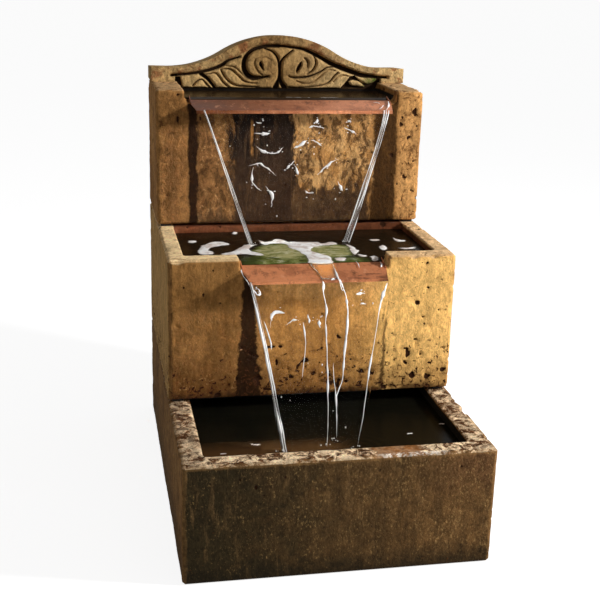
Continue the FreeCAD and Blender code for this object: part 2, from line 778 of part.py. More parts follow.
def group(name, members):
    joined = doc.addObject("Part::Compound", f"{name}_group")
    joined.Links = members
    return joined


def make_pads(label, depth, level):
    """Pads on both side walls, at the back corner and near the front of the tier above."""
    places = []
    for side in BOTH_SIDES:
        edge = size.width / 2 - size.pad_inset
        x = edge - size.pad_width if side == PLUS_X else -edge
        for setback in (size.pad_inset + size.pad_length, depth - size.pad_inset):
            places.append((x, back - setback, level, size.pad_width, size.pad_length, size.tier_gap))
    return boxes(label, places)


def cylinder(radius, length, x=ZERO, y=ZERO, z=ZERO, turn=None):
    made = doc.addObject("Part::Cylinder", "Round")
    bind(made, "Radius", radius)
    bind(made, "Height", length)
    return place(made, x, y, z, turn)


def fuse(members):
    joined = doc.addObject("Part::MultiFuse", "Joined")
    joined.Shapes = members
    return joined


def cut(base, tools):
    for tool in tools:
        made = doc.addObject("Part::Cut", "CutOut")
        made.Base = base
        made.Tool = tool
        base = made
    return base


def make_dowels():
    low = upper_top - size.crest_seat - dowel_depth
    pins = []
    for side in BOTH_SIDES:
        x = size.dowel_spread * side / 2
        pins.append(cylinder(size.dowel_radius, size.dowel_length, x, back - size.crest_depth / 2, low))
    return finish(group("crest_dowels", pins), "crest_dowels")


# The pump. Its pieces are drawn with +Z along the shaft towards the front, from the seam
# between the motor housing and the impeller chamber block.

outlet_along = size.volute_length - size.chamber_length / 2
pump_y = back - size.pump_setback + outlet_along
pump_z = size.base_floor + size.foot_height + size.pump_height / 2
plate_front = size.volute_length + size.plate
hub_front = plate_front + size.hub_length
screw_x = size.pump_width / 2 - size.block_round - size.screw_head / 2
screw_y = size.pump_height / 2 - size.block_round - size.screw_head / 2
screw_hole = size.screw_radius + size.fit_gap
screw_depth = size.volute_length / 2


def in_pump(thing):
    return place(thing, y=pump_y, z=pump_z, turn=FACING_FRONT)


def in_pump_at(thing, x, up, along):
    """Put a piece of the pump at a height over the shaft and a distance along it."""
    return place(thing, x, pump_y - along, pump_z + up, FACING_FRONT)


def along_shaft(radius, length, along, x=ZERO, up=ZERO):
    return in_pump_at(cylinder(radius, length), x, up, along)


def block_outline(body, name, lift=None, shrink=ZERO):
    sketch = sketch_on(body, "XY_Plane", name, lift)
    half = size.pump_height / 2 - shrink
    rectangle(sketch, size.pump_width - shrink * 2, -half, half)
    return sketch


def long_edge(middle, direction):
    return near(abs(direction.z), 1)


def screw_circles(sketch, radius):
    for side in BOTH_SIDES:
        for level in BOTH_SIDES:
            circle(sketch, radius, screw_x * side, screw_y * level)


foot_x = size.pump_width / 2 - size.block_round - size.foot_stub
foot_alongs = (-size.foot_radius, size.foot_radius - size.motor_length)
foot_plug = size.foot_stub + 1


def make_pump_housing():
    body = new_body("PumpHousing")
    pad(body, "Block", block_outline(body, "BlockSketch"), size.motor_length, reverse=True)
    round_edges(body, "RoundBlock", size.block_round, long_edge)
    sketch = sketch_on(body, "XY_Plane", "WellSketch")
    circle(sketch, size.well_radius, ZERO, ZERO)
    pocket(body, "Well", sketch, size.well_length)
    sketch = sketch_on(body, "XY_Plane", "BushSketch", -size.well_length)
    circle(sketch, size.bush_radius, ZERO, ZERO)
    pocket(body, "BushSeat", sketch, size.bush_length)
    sketch = sketch_on(body, "XY_Plane", "ScrewSketch")
    screw_circles(sketch, screw_hole)
    pocket(body, "ScrewHoles", sketch, screw_depth)
    sketch = sketch_on(body, "XY_Plane", "GlandSketch", -size.motor_length)
    circle(sketch, size.gland_radius / 2 + size.fit_gap, size.pump_width / 4, -size.pump_height / 4)
    pocket(body, "GlandHole", sketch, size.bush_length / 2, reverse=True)
    sketch = sketch_on(body, "XZ_Plane", "FootSketch", size.pump_height / 2)
    for side in BOTH_SIDES:
        for along in foot_alongs:
            circle(sketch, size.foot_stub + size.fit_gap, foot_x * side, along)
    pocket(body, "FootHoles", sketch, foot_plug)
    in_pump(body)
    return finish(body, "pump_housing")


def make_pump_volute():
    body = new_body("PumpVolute")
    pad(body, "Block", block_outline(body, "BlockSketch"), size.volute_length)
    round_edges(body, "RoundBlock", size.block_round, long_edge)
    sketch = sketch_on(body, "XZ_Plane", "BossSketch", -size.pump_height / 2)
    circle(sketch, size.outlet_boss, ZERO, outlet_along)
    pad(body, "OutletBoss", sketch, size.outlet_boss_height, reverse=True)
    sketch = sketch_on(body, "XY_Plane", "ChamberSketch", size.volute_length)
    circle(sketch, size.chamber_radius, ZERO, ZERO)
    pocket(body, "Chamber", sketch, size.chamber_length)
    sketch = sketch_on(body, "XY_Plane", "NeckSketch", size.volute_length)
    circle(sketch, size.well_radius, ZERO, ZERO)
    pocket(body, "Neck", sketch, size.volute_length)
    sketch = sketch_on(body, "XZ_Plane", "OutletSketch", -size.pump_height / 2 - size.outlet_boss_height)
    circle(sketch, size.outlet_radius, ZERO, outlet_along)
    pocket(body, "Outlet", sketch, size.outlet_boss_height + size.pump_height / 2, reverse=True)
    sketch = sketch_on(body, "XY_Plane", "ScrewSketch", size.volute_length)
    screw_circles(sketch, screw_hole)
    pocket(body, "ScrewHoles", sketch, size.volute_length)
    in_pump(body)
    return finish(body, "pump_volute")


INLET_ANGLES = (90, 210, 330)


def inlet_circles(sketch):
    for angle in INLET_ANGLES:
        x = size.inlet_pitch * math.cos(math.radians(angle))
        y = size.inlet_pitch * math.sin(math.radians(angle))
        circle(sketch, size.inlet_hole, x, y)


plate_shrink = size.strainer_wall + 1


def make_inlet_plate():
    body = new_body("InletPlate")
    sketch = block_outline(body, "PlateSketch", size.volute_length, plate_shrink)
    pad(body, "Plate", sketch, size.plate)
    round_edges(body, "RoundPlate", size.block_round - plate_shrink, long_edge)
    sketch = sketch_on(body, "XY_Plane", "HubSketch", plate_front)
    circle(sketch, size.hub_radius, ZERO, ZERO)
    pad(body, "Hub", sketch, size.hub_length)
    sketch = sketch_on(body, "XY_Plane", "BushSketch", size.volute_length)
    circle(sketch, size.bush_radius, ZERO, ZERO)
    pocket(body, "BushSeat", sketch, size.bush_length, reverse=True)
    sketch = sketch_on(body, "XY_Plane", "InletSketch", plate_front)
    inlet_circles(sketch)
    pocket(body, "Inlets", sketch, size.plate)
    sketch = sketch_on(body, "XY_Plane", "ScrewSketch", plate_front)
    screw_circles(sketch, screw_hole)
    pocket(body, "ScrewHoles", sketch, size.plate)
    in_pump(body)
    return finish(body, "pump_inlet_plate")


regulator_back = plate_front + size.fit_gap


def make_flow_regulator():
    body = new_body("FlowRegulator")
    sketch = sketch_on(body, "XY_Plane", "DiscSketch", regulator_back)
    circle(sketch, size.regulator_radius, ZERO, ZERO)
    pad(body, "Disc", sketch, size.regulator)
    front = regulator_back + size.regulator
    sketch = sketch_on(body, "XY_Plane", "GripSketch", front)
    half = size.regulator / 2
    grip_low = size.regulator / 3 - size.regulator_radius
    grip_high = -size.clip_radius - size.regulator / 2
    outline(sketch, [(-half, grip_low), (half, grip_low), (half, grip_high), (-half, grip_high)])
    pad(body, "Grip", sketch, size.regulator * 2)
    sketch = sketch_on(body, "XY_Plane", "HoleSketch", front)
    circle(sketch, size.hub_radius + size.running_gap, ZERO, ZERO)
    inlet_circles(sketch)
    pocket(body, "Holes", sketch, size.regulator)
    in_pump(body)
    return finish(body, "flow_regulator")


def ring(label, outer, inner, length, along):
    whole = along_shaft(outer, length, along)
    return finish(cut(whole, [along_shaft(inner, length, along)]), label)


def make_shaft_pieces():
    rear_along = -size.well_length - size.bush_length
    front_along = size.volute_length
    shaft_end = front_along + size.bush_length
    bore = size.shaft_radius + size.running_gap
    outside = size.bush_radius - size.running_gap
    ring("rear_bush", outside, bore, size.bush_length, rear_along)
    ring("front_bush", outside, bore, size.bush_length, front_along)
    shaft = along_shaft(size.shaft_radius, shaft_end - rear_along, rear_along)
    finish(shaft, "impeller_shaft")
    clip_along = regulator_back + size.regulator + size.fit_gap
    ring("regulator_clip", size.clip_radius, size.hub_radius + size.running_gap, size.clip, clip_along)


stem_rear = size.end_play - size.well_length
stem_front = size.volute_length - size.end_play
shroud_along = size.volute_length - size.chamber_length + size.end_play


def make_impeller():
    body = new_body("Impeller")
    sketch = sketch_on(body, "XY_Plane", "StemSketch", stem_rear)
    circle(sketch, size.stem_radius, ZERO, ZERO)
    pad(body, "Stem", sketch, stem_front - stem_rear)
    sketch = sketch_on(body, "XY_Plane", "ShroudSketch", shroud_along)
    circle(sketch, size.blade_radius, ZERO, ZERO)
    pad(body, "Shroud", sketch, size.shroud)
    sketch = sketch_on(body, "XY_Plane", "BladeSketch", shroud_along)
    half = size.blade_thickness / 2
    outline(sketch, [
        (-half, size.shaft_radius + size.blade_thickness),
        (half, size.shaft_radius + size.blade_thickness),
        (half + size.blade_thickness, size.blade_radius - size.blade_thickness),
        (-half + size.blade_thickness, size.blade_radius - size.blade_thickness),
    ])
    blade = pad(body, "Blade", sketch, size.shroud + size.blade_width)
    pattern = body.newObject("PartDesign::PolarPattern", "Blades")
    pattern.Originals = [blade]
    pattern.Axis = (next(item for item in body.Origin.OriginFeatures if item.Role == "Z_Axis"), [""])
    pattern.Angle = 360
    bind(pattern, "Occurrences", size.blade_count)
    body.Tip = pattern
    doc.recompute()
    sketch = sketch_on(body, "XY_Plane", "BoreSketch", stem_front)
    circle(sketch, size.shaft_radius + size.running_gap, ZERO, ZERO)
    pocket(body, "Bore", sketch, stem_front - stem_rear)
    in_pump(body)
    finish(body, "impeller")
    magnet_length = size.well_length - size.end_play * 2
    ring("rotor_magnet", size.magnet_radius, size.stem_radius + size.running_gap, magnet_length, stem_rear)


def make_strainer():
    """The intake strainer: an open sleeve, and a slotted grille that closes its front."""
    grille_back = size.volute_length + size.strainer_length - size.grille
    sleeve = new_body("StrainerSleeve")
    sketch = block_outline(sleeve, "SleeveSketch", size.volute_length)
    pad(sleeve, "Sleeve", sketch, grille_back - size.volute_length)
    round_edges(sleeve, "RoundSleeve", size.block_round, long_edge)
    sketch = block_outline(sleeve, "HollowSketch", size.volute_length, size.strainer_wall)
    pocket(sleeve, "Hollow", sketch, grille_back - size.volute_length, reverse=True)
    inner_half = size.pump_width.value / 2 - size.strainer_wall.value

    def hollow_edge(middle, direction):
        return long_edge(middle, direction) and near(abs(middle.x), inner_half)

    round_edges(sleeve, "RoundHollow", size.block_round - size.strainer_wall, hollow_edge)
    in_pump(sleeve)
    finish(sleeve, "strainer_sleeve")

    grille = new_body("StrainerGrille")
    sketch = block_outline(grille, "PlateSketch", grille_back)
    pad(grille, "Plate", sketch, size.grille)
    round_edges(grille, "RoundPlate", size.block_round, long_edge)
    inside_half = size.pump_height / 2 - size.block_round
    pitch = (size.pump_width - size.block_round * 2) / size.slot_count
    sketch = sketch_on(grille, "XY_Plane", "SlotSketch", grille_back + size.grille)
    start = size.block_round - size.pump_width / 2 + (pitch - size.slot_width) / 2
    outline(sketch, [
        (start, -inside_half),
        (start + size.slot_width, -inside_half),
        (start + size.slot_width, inside_half),
        (start, inside_half),
    ])
    slot = pocket(grille, "Slot", sketch, size.grille)
    pattern = grille.newObject("PartDesign::LinearPattern", "Slots")
    pattern.Originals = [slot]
    pattern.Direction = (sketch, ["H_Axis"])
    bind(pattern, "Length", pitch * (size.slot_count - 1))
    bind(pattern, "Occurrences", size.slot_count)
    grille.Tip = pattern
    doc.recompute()
    in_pump(grille)
    finish(grille, "strainer_grille")


def make_feet():
    feet = []
    for side in BOTH_SIDES:
        for along in foot_alongs:
            stub = cylinder(size.foot_stub, size.foot_height + foot_plug - size.fit_gap,
                            foot_x * side, pump_y - along, size.base_floor)
            cup = doc.addObject("Part::Cone", "Cup")
            bind(cup, "Radius1", size.foot_radius)
            bind(cup, "Radius2", size.foot_stub + 1)
            bind(cup, "Height", size.foot_height)
            place(cup, foot_x * side, pump_y - along, size.base_floor)
            feet.append(fuse([stub, cup]))
    return finish(group("pump_feet", feet), "pump_feet")


def make_pump_screws():
    screws = []
    for side in BOTH_SIDES:
        for level in BOTH_SIDES:
            x = screw_x * side
            up = screw_y * level
            length = plate_front + screw_depth - size.fit_gap
            shank = along_shaft(size.screw_radius, length, size.fit_gap - screw_depth, x, up)
            head = along_shaft(size.screw_head, size.screw_radius, plate_front, x, up)
            screws.append(fuse([shank, head]))
    return finish(group("pump_screws", screws), "pump_screws")


def make_gland():
    x = size.pump_width / 4
    up = -size.pump_height / 4
    behind = -size.motor_length - size.gland_length
    stub = along_shaft(size.gland_radius / 2, size.gland_length + size.bush_length / 2, behind, x, up)
    nut = doc.addObject("Part::Prism", "GlandNut")
    nut.Polygon = 6
    bind(nut, "Circumradius", size.gland_radius)
    bind(nut, "Height", size.gland_length)
    in_pump_at(nut, x, up, behind)
    whole = fuse([stub, nut])
    bore = along_shaft(size.gland_radius / 3, size.gland_length, behind, x, up)
    return finish(cut(whole, [bore]), "cord_gland")


# Fittings turned about an upright axis

def turned(label, profile, y, z):
    """A round fitting from its half section: distance from the axis, and height."""
    body = new_body(label.title().replace("_", ""))
    sketch = sketch_on(body, "XZ_Plane", "SectionSketch")
    outline(sketch, profile)
    made = body.newObject("PartDesign::Revolution", "Turned")
    made.Profile = sketch
    made.ReferenceAxis = (sketch, ["V_Axis"])
    made.Angle = 360
    doc.recompute()
    place(body, y=y, z=z)
    return finish(body, label)


BARB_COUNT = 3


def barbs(start, up):
    """Half section of a barbed spigot from its root, running up (1) or down (-1)."""
    pitch = size.barb_length / BARB_COUNT
    points = []
    for number in range(BARB_COUNT):
        points.append((size.barb_radius, start + pitch * number * up))
        points.append((size.barb_radius - size.running_gap * 10, start + pitch * (number + 1) * up))
    return points


adaptor_seat = pump_z + size.pump_height / 2 + size.outlet_boss_height
adaptor_top = adaptor_seat + size.flange
hose_start = adaptor_top + size.fit_gap
hose_y = back - size.pump_setback
bulkhead_y = back - size.bulkhead_setback
trough_bed_z = upper_top - size.trough
shank_end = trough_bed_z - size.trough_floor - size.nut_height - size.shank_tail


def make_adaptor():
    spigot = size.outlet_boss_height
    profile = [
        (size.barb_bore, -spigot),
        (size.outlet_radius - size.running_gap, -spigot),
        (size.outlet_radius - size.running_gap, ZERO),
        (size.outlet_boss, ZERO),
        (size.outlet_boss, size.flange),
    ]
    profile += barbs(size.flange, 1)
    profile.append((size.barb_bore, size.flange + size.barb_length))
    return turned("hose_adaptor", profile, hose_y, adaptor_seat)


def make_bulkhead():
    bed_to_shank = shank_end - trough_bed_z
    flange_foot = size.seal
    profile = [
        (size.barb_bore, flange_foot + size.bulkhead_flange_height),
        (size.barb_bore, bed_to_shank - size.barb_length),
    ]
    profile += list(reversed(barbs(bed_to_shank, -1)))
    profile += [
        (size.bulkhead_radius, bed_to_shank),
        (size.bulkhead_radius, flange_foot),
        (size.bulkhead_flange, flange_foot),
        (size.bulkhead_flange, flange_foot + size.bulkhead_flange_height),
    ]
    turned("bulkhead_body", profile, bulkhead_y, trough_bed_z)
    bore = size.bulkhead_radius + size.running_gap
    whole = cylinder(size.bulkhead_flange, size.seal, ZERO, bulkhead_y, trough_bed_z)
    hole = cylinder(bore, size.seal, ZERO, bulkhead_y, trough_bed_z)
    finish(cut(whole, [hole]), "bulkhead_seal")
    nut = doc.addObject("Part::Prism", "Nut")
    nut.Polygon = 6
    bind(nut, "Circumradius", size.nut_radius)
    bind(nut, "Height", size.nut_height)
    nut_z = trough_bed_z - size.trough_floor - size.nut_height
    place(nut, ZERO, bulkhead_y, nut_z)
    hole = cylinder(bore, size.nut_height, ZERO, bulkhead_y, nut_z)
    finish(cut(nut, [hole]), "bulkhead_nut")


def make_hose():
    """The riser hose: up from the pump, back in two equal bends, and up to the bulkhead."""
    across = size.pump_setback.value - size.bulkhead_setback.value
    bend = across / 2
    low_y = hose_y.value
    high_y = bulkhead_y.value
    start_z = hose_start.value
    first_z = start_z + size.hose_rise.value
    end_z = shank_end.value - size.fit_gap.value
    slant = bend * math.sqrt(0.5)

    def spot(y, z):
        return Vector(0, y, z)

    middle = spot(low_y + bend, first_z + bend)
    first = spot(low_y + bend - slant, first_z + slant)
    second = spot(low_y + bend + slant, first_z + 2 * bend - slant)
    last_z = first_z + 2 * bend
    path = Part.Wire([
        Part.makeLine(spot(low_y, start_z), spot(low_y, first_z)),
        Part.Arc(spot(low_y, first_z), first, middle).toShape(),
        Part.Arc(middle, second, spot(high_y, last_z)).toShape(),
        Part.makeLine(spot(high_y, last_z), spot(high_y, end_z)),
    ])
    tubes = []
    for radius in (size.hose_bore.value + size.hose_wall.value, size.hose_bore.value):
        section = Part.Wire(Part.Circle(spot(low_y, start_z), Vector(0, 0, 1), radius).toShape())
        tube = path.makePipeShell([section], True, False)
        expected = math.pi * radius ** 2 * path.Length
        if abs(tube.Volume / expected - 1) > 0.01:
            raise RuntimeError("the hose is not as thick as its section")
        tubes.append(tube)
    hose = doc.addObject("Part::Feature", "RiserHose")
    hose.Shape = tubes[0].cut(tubes[1])
    return finish(hose, "riser_hose")


def make_clamp(label, y, z):
    """A band round the hose with the block of its tightening screw."""
    inner = size.hose_bore + size.hose_wall + size.fit_gap
    outer = inner + size.clamp_wall
    band = cylinder(outer, size.clamp_width, ZERO, y, z)
    block = doc.addObject("Part::Box", "ScrewBlock")
    bind(block, "Length", size.clamp_width)
    bind(block, "Width", size.clamp_width)
    bind(block, "Height", size.clamp_width)
    place(block, -size.clamp_width / 2, y - outer - size.clamp_width / 2, z)
    whole = fuse([band, block])
    return finish(cut(whole, [cylinder(inner, size.clamp_width, ZERO, y, z)]), label)


def make_drain_plug():
    stem = size.plug_radius - size.fit_gap
    knob_root = size.plug_flange_height + size.plug_flange_height
    profile = [
        (ZERO, -size.plug_length),
        (stem - 1, -size.plug_length),
        (stem, ZERO),
        (size.plug_flange, ZERO),
        (size.plug_flange, size.plug_flange_height),
        (size.plug_radius / 3, size.plug_flange_height),
        (size.plug_radius / 3, knob_root),
        (size.plug_radius * 2 / 3, knob_root),
        (size.plug_radius * 2 / 3, knob_root + size.plug_flange_height),
        (ZERO, knob_root + size.plug_flange_height),
    ]
    plug = turned("drain_plug", profile, back - size.plug_setback, size.base_floor)
    bind(plug, "Placement.Base.x", -size.plug_side)


make_lower_basin()
make_middle_tier()
make_upper_tier()
make_crest()
make_spillway("middle_spillway", size.middle_depth, size.middle_front_wall, size.middle_height,
              size.middle_notch_depth, size.middle_notch_width - size.middle_lip_gap * 2, middle_base)
make_spillway("upper_spillway", size.upper_depth, size.upper_wall, size.upper_height,
              size.upper_notch_depth, trough_width - size.upper_lip_gap * 2, upper_base)
make_pads("middle_tier_pads", size.middle_depth, size.base_height)
make_pads("upper_tier_pads", size.upper_depth, middle_top)
make_dowels()
make_pump_housing()
make_pump_volute()
make_inlet_plate()
make_flow_regulator()
make_shaft_pieces()
make_impeller()
make_strainer()
make_feet()
make_pump_screws()
make_gland()
make_adaptor()
make_bulkhead()
make_hose()
make_clamp("lower_hose_clamp", hose_y, hose_start + size.clamp_width)
make_clamp("upper_hose_clamp", bulkhead_y, shank_end - size.clamp_width * 2)
make_drain_plug()
doc.recompute()

for thing in doc.Objects:
    if {"Invalid", "Error"} & set(thing.State):
        raise RuntimeError(f"{thing.Name} ({thing.Label}) failed: {thing.State}")
for label, thing in finished.items():
    if thing.Shape.isNull() or not thing.Shape.isValid() or not thing.Shape.Solids:
        raise RuntimeError(f"{label} has no valid solid")

os.makedirs("parts", exist_ok=True)
for label, thing in finished.items():
    thing.Shape.exportStep(f"parts/{label}.step")
    print(label, len(thing.Shape.Solids), round(thing.Shape.Volume), thing.Shape.BoundBox)
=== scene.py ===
import itertools
import json
import math

import bmesh
import bpy
import numpy as np
from mathutils import Matrix, Vector


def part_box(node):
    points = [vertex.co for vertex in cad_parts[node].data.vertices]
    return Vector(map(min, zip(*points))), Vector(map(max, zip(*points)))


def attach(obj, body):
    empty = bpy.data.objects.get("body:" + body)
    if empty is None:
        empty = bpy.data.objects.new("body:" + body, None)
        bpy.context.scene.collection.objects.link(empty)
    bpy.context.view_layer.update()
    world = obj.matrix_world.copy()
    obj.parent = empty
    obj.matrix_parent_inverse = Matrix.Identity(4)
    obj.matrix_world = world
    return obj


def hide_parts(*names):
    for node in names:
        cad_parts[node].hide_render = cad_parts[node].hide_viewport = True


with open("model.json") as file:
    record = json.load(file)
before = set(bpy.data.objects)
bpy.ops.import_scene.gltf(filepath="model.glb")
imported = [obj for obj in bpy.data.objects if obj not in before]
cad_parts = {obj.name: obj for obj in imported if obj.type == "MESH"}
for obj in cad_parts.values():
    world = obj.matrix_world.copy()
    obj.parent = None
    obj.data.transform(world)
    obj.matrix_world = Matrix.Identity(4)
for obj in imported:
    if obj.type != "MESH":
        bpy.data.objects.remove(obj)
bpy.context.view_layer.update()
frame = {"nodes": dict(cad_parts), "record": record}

NODES = frame["nodes"]
BODY = "fountain"
MM = 0.001


# Numbers and colours

def written(red, green, blue):
    """A colour as the shader wants it, from its eight-bit screen values."""
    shares = [value / 255 for value in (red, green, blue)]
    linear = [s / 12.92 if s <= 0.04045 else ((s + 0.055) / 1.055) ** 2.4 for s in shares]
    return [*linear, 1.0]


def ease(value, low, high):
    """0 below low, 1 above high, with a smooth step between them."""
    share = np.clip((value - low) / (high - low), 0, 1)
    return share * share * (3 - 2 * share)


def lattice(cells, seed):
    """A repeatable number from 0 to 1 for each whole-number cell."""
    mixed = np.sin(cells @ np.array([127.1, 311.7, 74.7]) + seed * 53.3) * 43758.5453
    return mixed - np.floor(mixed)


def noise(points, size, seed):
    """Smooth noise from 0 to 1, with features about as large as the given size."""
    spot = points / size + seed * 7.31
    cell = np.floor(spot)
    share = spot - cell
    share = share * share * (3 - 2 * share)
    total = np.zeros(len(points))
    for corner in itertools.product((0, 1), repeat=3):
        weight = np.prod(np.where(corner, share, 1 - share), axis=1)
        total += weight * lattice(cell + np.array(corner), seed)
    return total


def layered(points, size, seed, count=4):
    """Noise from 0 to 1 added up over ever finer features."""
    total = np.zeros(len(points))
    weight = 1.0
    for level in range(count):
        total += weight * noise(points, size / 2 ** level, seed + level)
        weight /= 2
    return total / (2 - 2 ** (1 - count))


def curve_through(points, steps=8):
    """A smooth line through the given points."""
    points = np.array(points, dtype=float)
    padded = np.vstack([2 * points[0] - points[1], points, 2 * points[-1] - points[-2]])
    line = []
    for a, b, c, d in zip(padded, padded[1:], padded[2:], padded[3:]):
        for share in np.arange(steps) / steps:
            line.append(0.5 * (2 * b + (c - a) * share + (2 * a - 5 * b + 4 * c - d) * share ** 2
                               + (3 * b - a - 3 * c + d) * share ** 3))
    line.append(points[-1])
    return np.array(line)


def line_distance(across, up, line, halves=None):
    """How far each flat point is from a line of straight runs, less half of the line's width there."""
    if halves is None:
        halves = np.zeros(len(line))
    best = np.full(across.shape, np.inf)
    for (x0, y0), (x1, y1), half0, half1 in zip(line, line[1:], halves, halves[1:]):
        run_x, run_y = x1 - x0, y1 - y0
        share = ((across - x0) * run_x + (up - y0) * run_y) / (run_x ** 2 + run_y ** 2 + 1e-12)
        share = np.clip(share, 0, 1)
        gap = np.hypot(across - x0 - share * run_x, up - y0 - share * run_y)
        best = np.minimum(best, gap - half0 - share * (half1 - half0))
    return best


def depth_inside(across, up, outline):
    """How far each flat point is inside a closed outline, less than zero outside it."""
    loop = np.vstack([outline, outline[:1]])
    inside = np.zeros(across.shape, dtype=bool)
    for (x0, y0), (x1, y1) in zip(loop, loop[1:]):
        if y0 == y1:
            continue
        crosses = (y0 > up) != (y1 > up)
        inside ^= crosses & (across < (x1 - x0) * (up - y0) / (y1 - y0) + x0)
    gap = line_distance(across, up, loop)
    return np.where(inside, gap, -gap)


# Meshes

def points_at(x, y=0.0, z=0.0):
    """Points from their three coordinates, each an array or one number for all."""
    return np.stack(np.broadcast_arrays(x, y, z), axis=-1)


def add_mesh(name, points, faces, smooth=True):
    mesh = bpy.data.meshes.new(name)
    mesh.from_pydata(np.asarray(points).tolist(), [], [tuple(face) for face in faces])
    mesh.update()
    return add_object(name, mesh, smooth)


def add_object(name, mesh, smooth=True):
    make_smooth(mesh, smooth)
    piece = bpy.data.objects.new(name, mesh)
    bpy.context.scene.collection.objects.link(piece)
    return piece


def make_smooth(mesh, smooth=True):
    mesh.polygons.foreach_set("use_smooth", [smooth] * len(mesh.polygons))


def strip_faces(rows, columns, first=0, ring=False):
    """Four-cornered faces between rows of points; a ring joins the last column to the first."""
    faces = []
    for row in range(rows - 1):
        for column in range(columns if ring else columns - 1):
            after = (column + 1) % columns
            low = first + row * columns
            high = low + columns
            faces.append((low + column, low + after, high + after, high + column))
    return faces


def rim_of(rows, columns):
    """The points round the outside of a grid, back to the first one."""
    size = rows * columns
    return ([column for column in range(columns)]
            + [row * columns + columns - 1 for row in range(1, rows)]
            + [size - 1 - column for column in range(1, columns)]
            + [(rows - 1 - row) * columns for row in range(1, rows)])


def skinned(front, back, rows, columns):
    """A thin closed shape between two grids of points, as its points and faces."""
    size = rows * columns
    faces = strip_faces(rows, columns) + [face[::-1] for face in strip_faces(rows, columns, size)]
    border = rim_of(rows, columns)
    faces += [(after, this, this + size, after + size) for this, after in zip(border, border[1:])]
    return np.vstack([front, back]), faces


def triples(items, key):
    """What each item of a mesh holds under the key, as rows of three numbers."""
    values = np.empty(len(items) * 3)
    items.foreach_get(key, values)
    return values.reshape(-1, 3)


def keep_value(mesh, name, values):
    """Store one number per point, for the material to read."""
    layer = mesh.attributes.new(name, "FLOAT", "POINT")
    layer.data.foreach_set("value", np.asarray(values, dtype=np.float32))


def worked(piece, kind, **settings):
    """The piece's mesh after one modifier."""
    modifier = piece.modifiers.new(kind.title(), kind)
    for key, value in settings.items():
        setattr(modifier, key, value)
    bpy.context.view_layer.update()
    mesh = bpy.data.meshes.new_from_object(piece.evaluated_get(bpy.context.evaluated_depsgraph_get()))
    piece.modifiers.remove(modifier)
    return mesh


def edit(piece, operation, parts, **settings):
    """Runs one mesh operation on all the faces or points of a piece."""
    shape = bmesh.new()
    shape.from_mesh(piece.data)
    operation(shape, **{parts: getattr(shape, parts)}, **settings)
    shape.to_mesh(piece.data)
    shape.free()


def face_outwards(piece):
    edit(piece, bmesh.ops.recalc_face_normals, "faces")


def dress(piece, material):
    piece.data.materials.clear()
    piece.data.materials.append(material)


# Materials

class Nodes:
    """The nodes of a material or a world, added a step at a time."""

    def __init__(self, block, clear=False):
        block.use_nodes = True
        self.tree = block.node_tree
        if clear:
            self.tree.nodes.clear()

    def add(self, kind, feeds=None, **settings):
        """A node with the given settings and inputs."""
        node = self.tree.nodes.new("ShaderNode" + kind)
        for key, value in settings.items():
            setattr(node, key, value)
        for key, value in (feeds or {}).items():
            self.feed(node.inputs[key], value)
        return node

    def feed(self, socket, value):
        """Links or sets an input. A tuple is a colour in screen values."""
        value = getattr(value, "socket", value)
        if isinstance(value, bpy.types.NodeSocket):
            self.tree.links.new(value, socket)
        else:
            socket.default_value = written(*value) if isinstance(value, tuple) else value


def through(kind):
    """A method that puts a value, and others after it, through one math node."""
    return lambda value, *others: value.paint.sum(kind, value, *others)


class Value:
    """A number that a material works out at each point of a surface; a | b is the larger of two."""

    __mul__ = through("MULTIPLY")
    __add__ = through("ADD")
    __sub__ = through("SUBTRACT")
    __or__ = through("MAXIMUM")
    __abs__ = through("ABSOLUTE")
    line = through("MULTIPLY_ADD")

    def __init__(self, paint, socket):
        self.paint = paint
        self.socket = socket

    def moved(self, by, reach):
        """The value pushed up and down by a noise, by up to the given reach."""
        return (by - 0.5).line(2 * reach, self)

    def step(self, low, high):
        """0 at low and 1 at high, with a smooth step between them."""
        node = self.paint.add("MapRange", {0: self, 1: low, 2: high}, interpolation_type="SMOOTHSTEP")
        return Value(self.paint, node.outputs[0])

    def strip(self, low, high, soft):
        return self.step(low - soft, low + soft) * self.step(high + soft, high - soft)


class Colour:
    """A colour that is painted over, one coat after another."""

    def __init__(self, paint, first):
        self.paint = paint
        self.socket = first

    def coat(self, share, colour):
        node = self.paint.add("Mix", {0: share, 6: self.socket, 7: colour}, data_type="RGBA")
        self.socket = node.outputs[2]
        return self

    def coats(self, where, rows):
        """Several coats in one place, each with its share and its colour."""
        for share, colour in rows:
            self.coat(where * share, colour)

    def shade(self, tone):
        """Makes the colour darker or lighter by a number."""
        node = self.paint.add("VectorMath", {0: self, "Scale": tone}, operation="SCALE")
        self.socket = node.outputs[0]


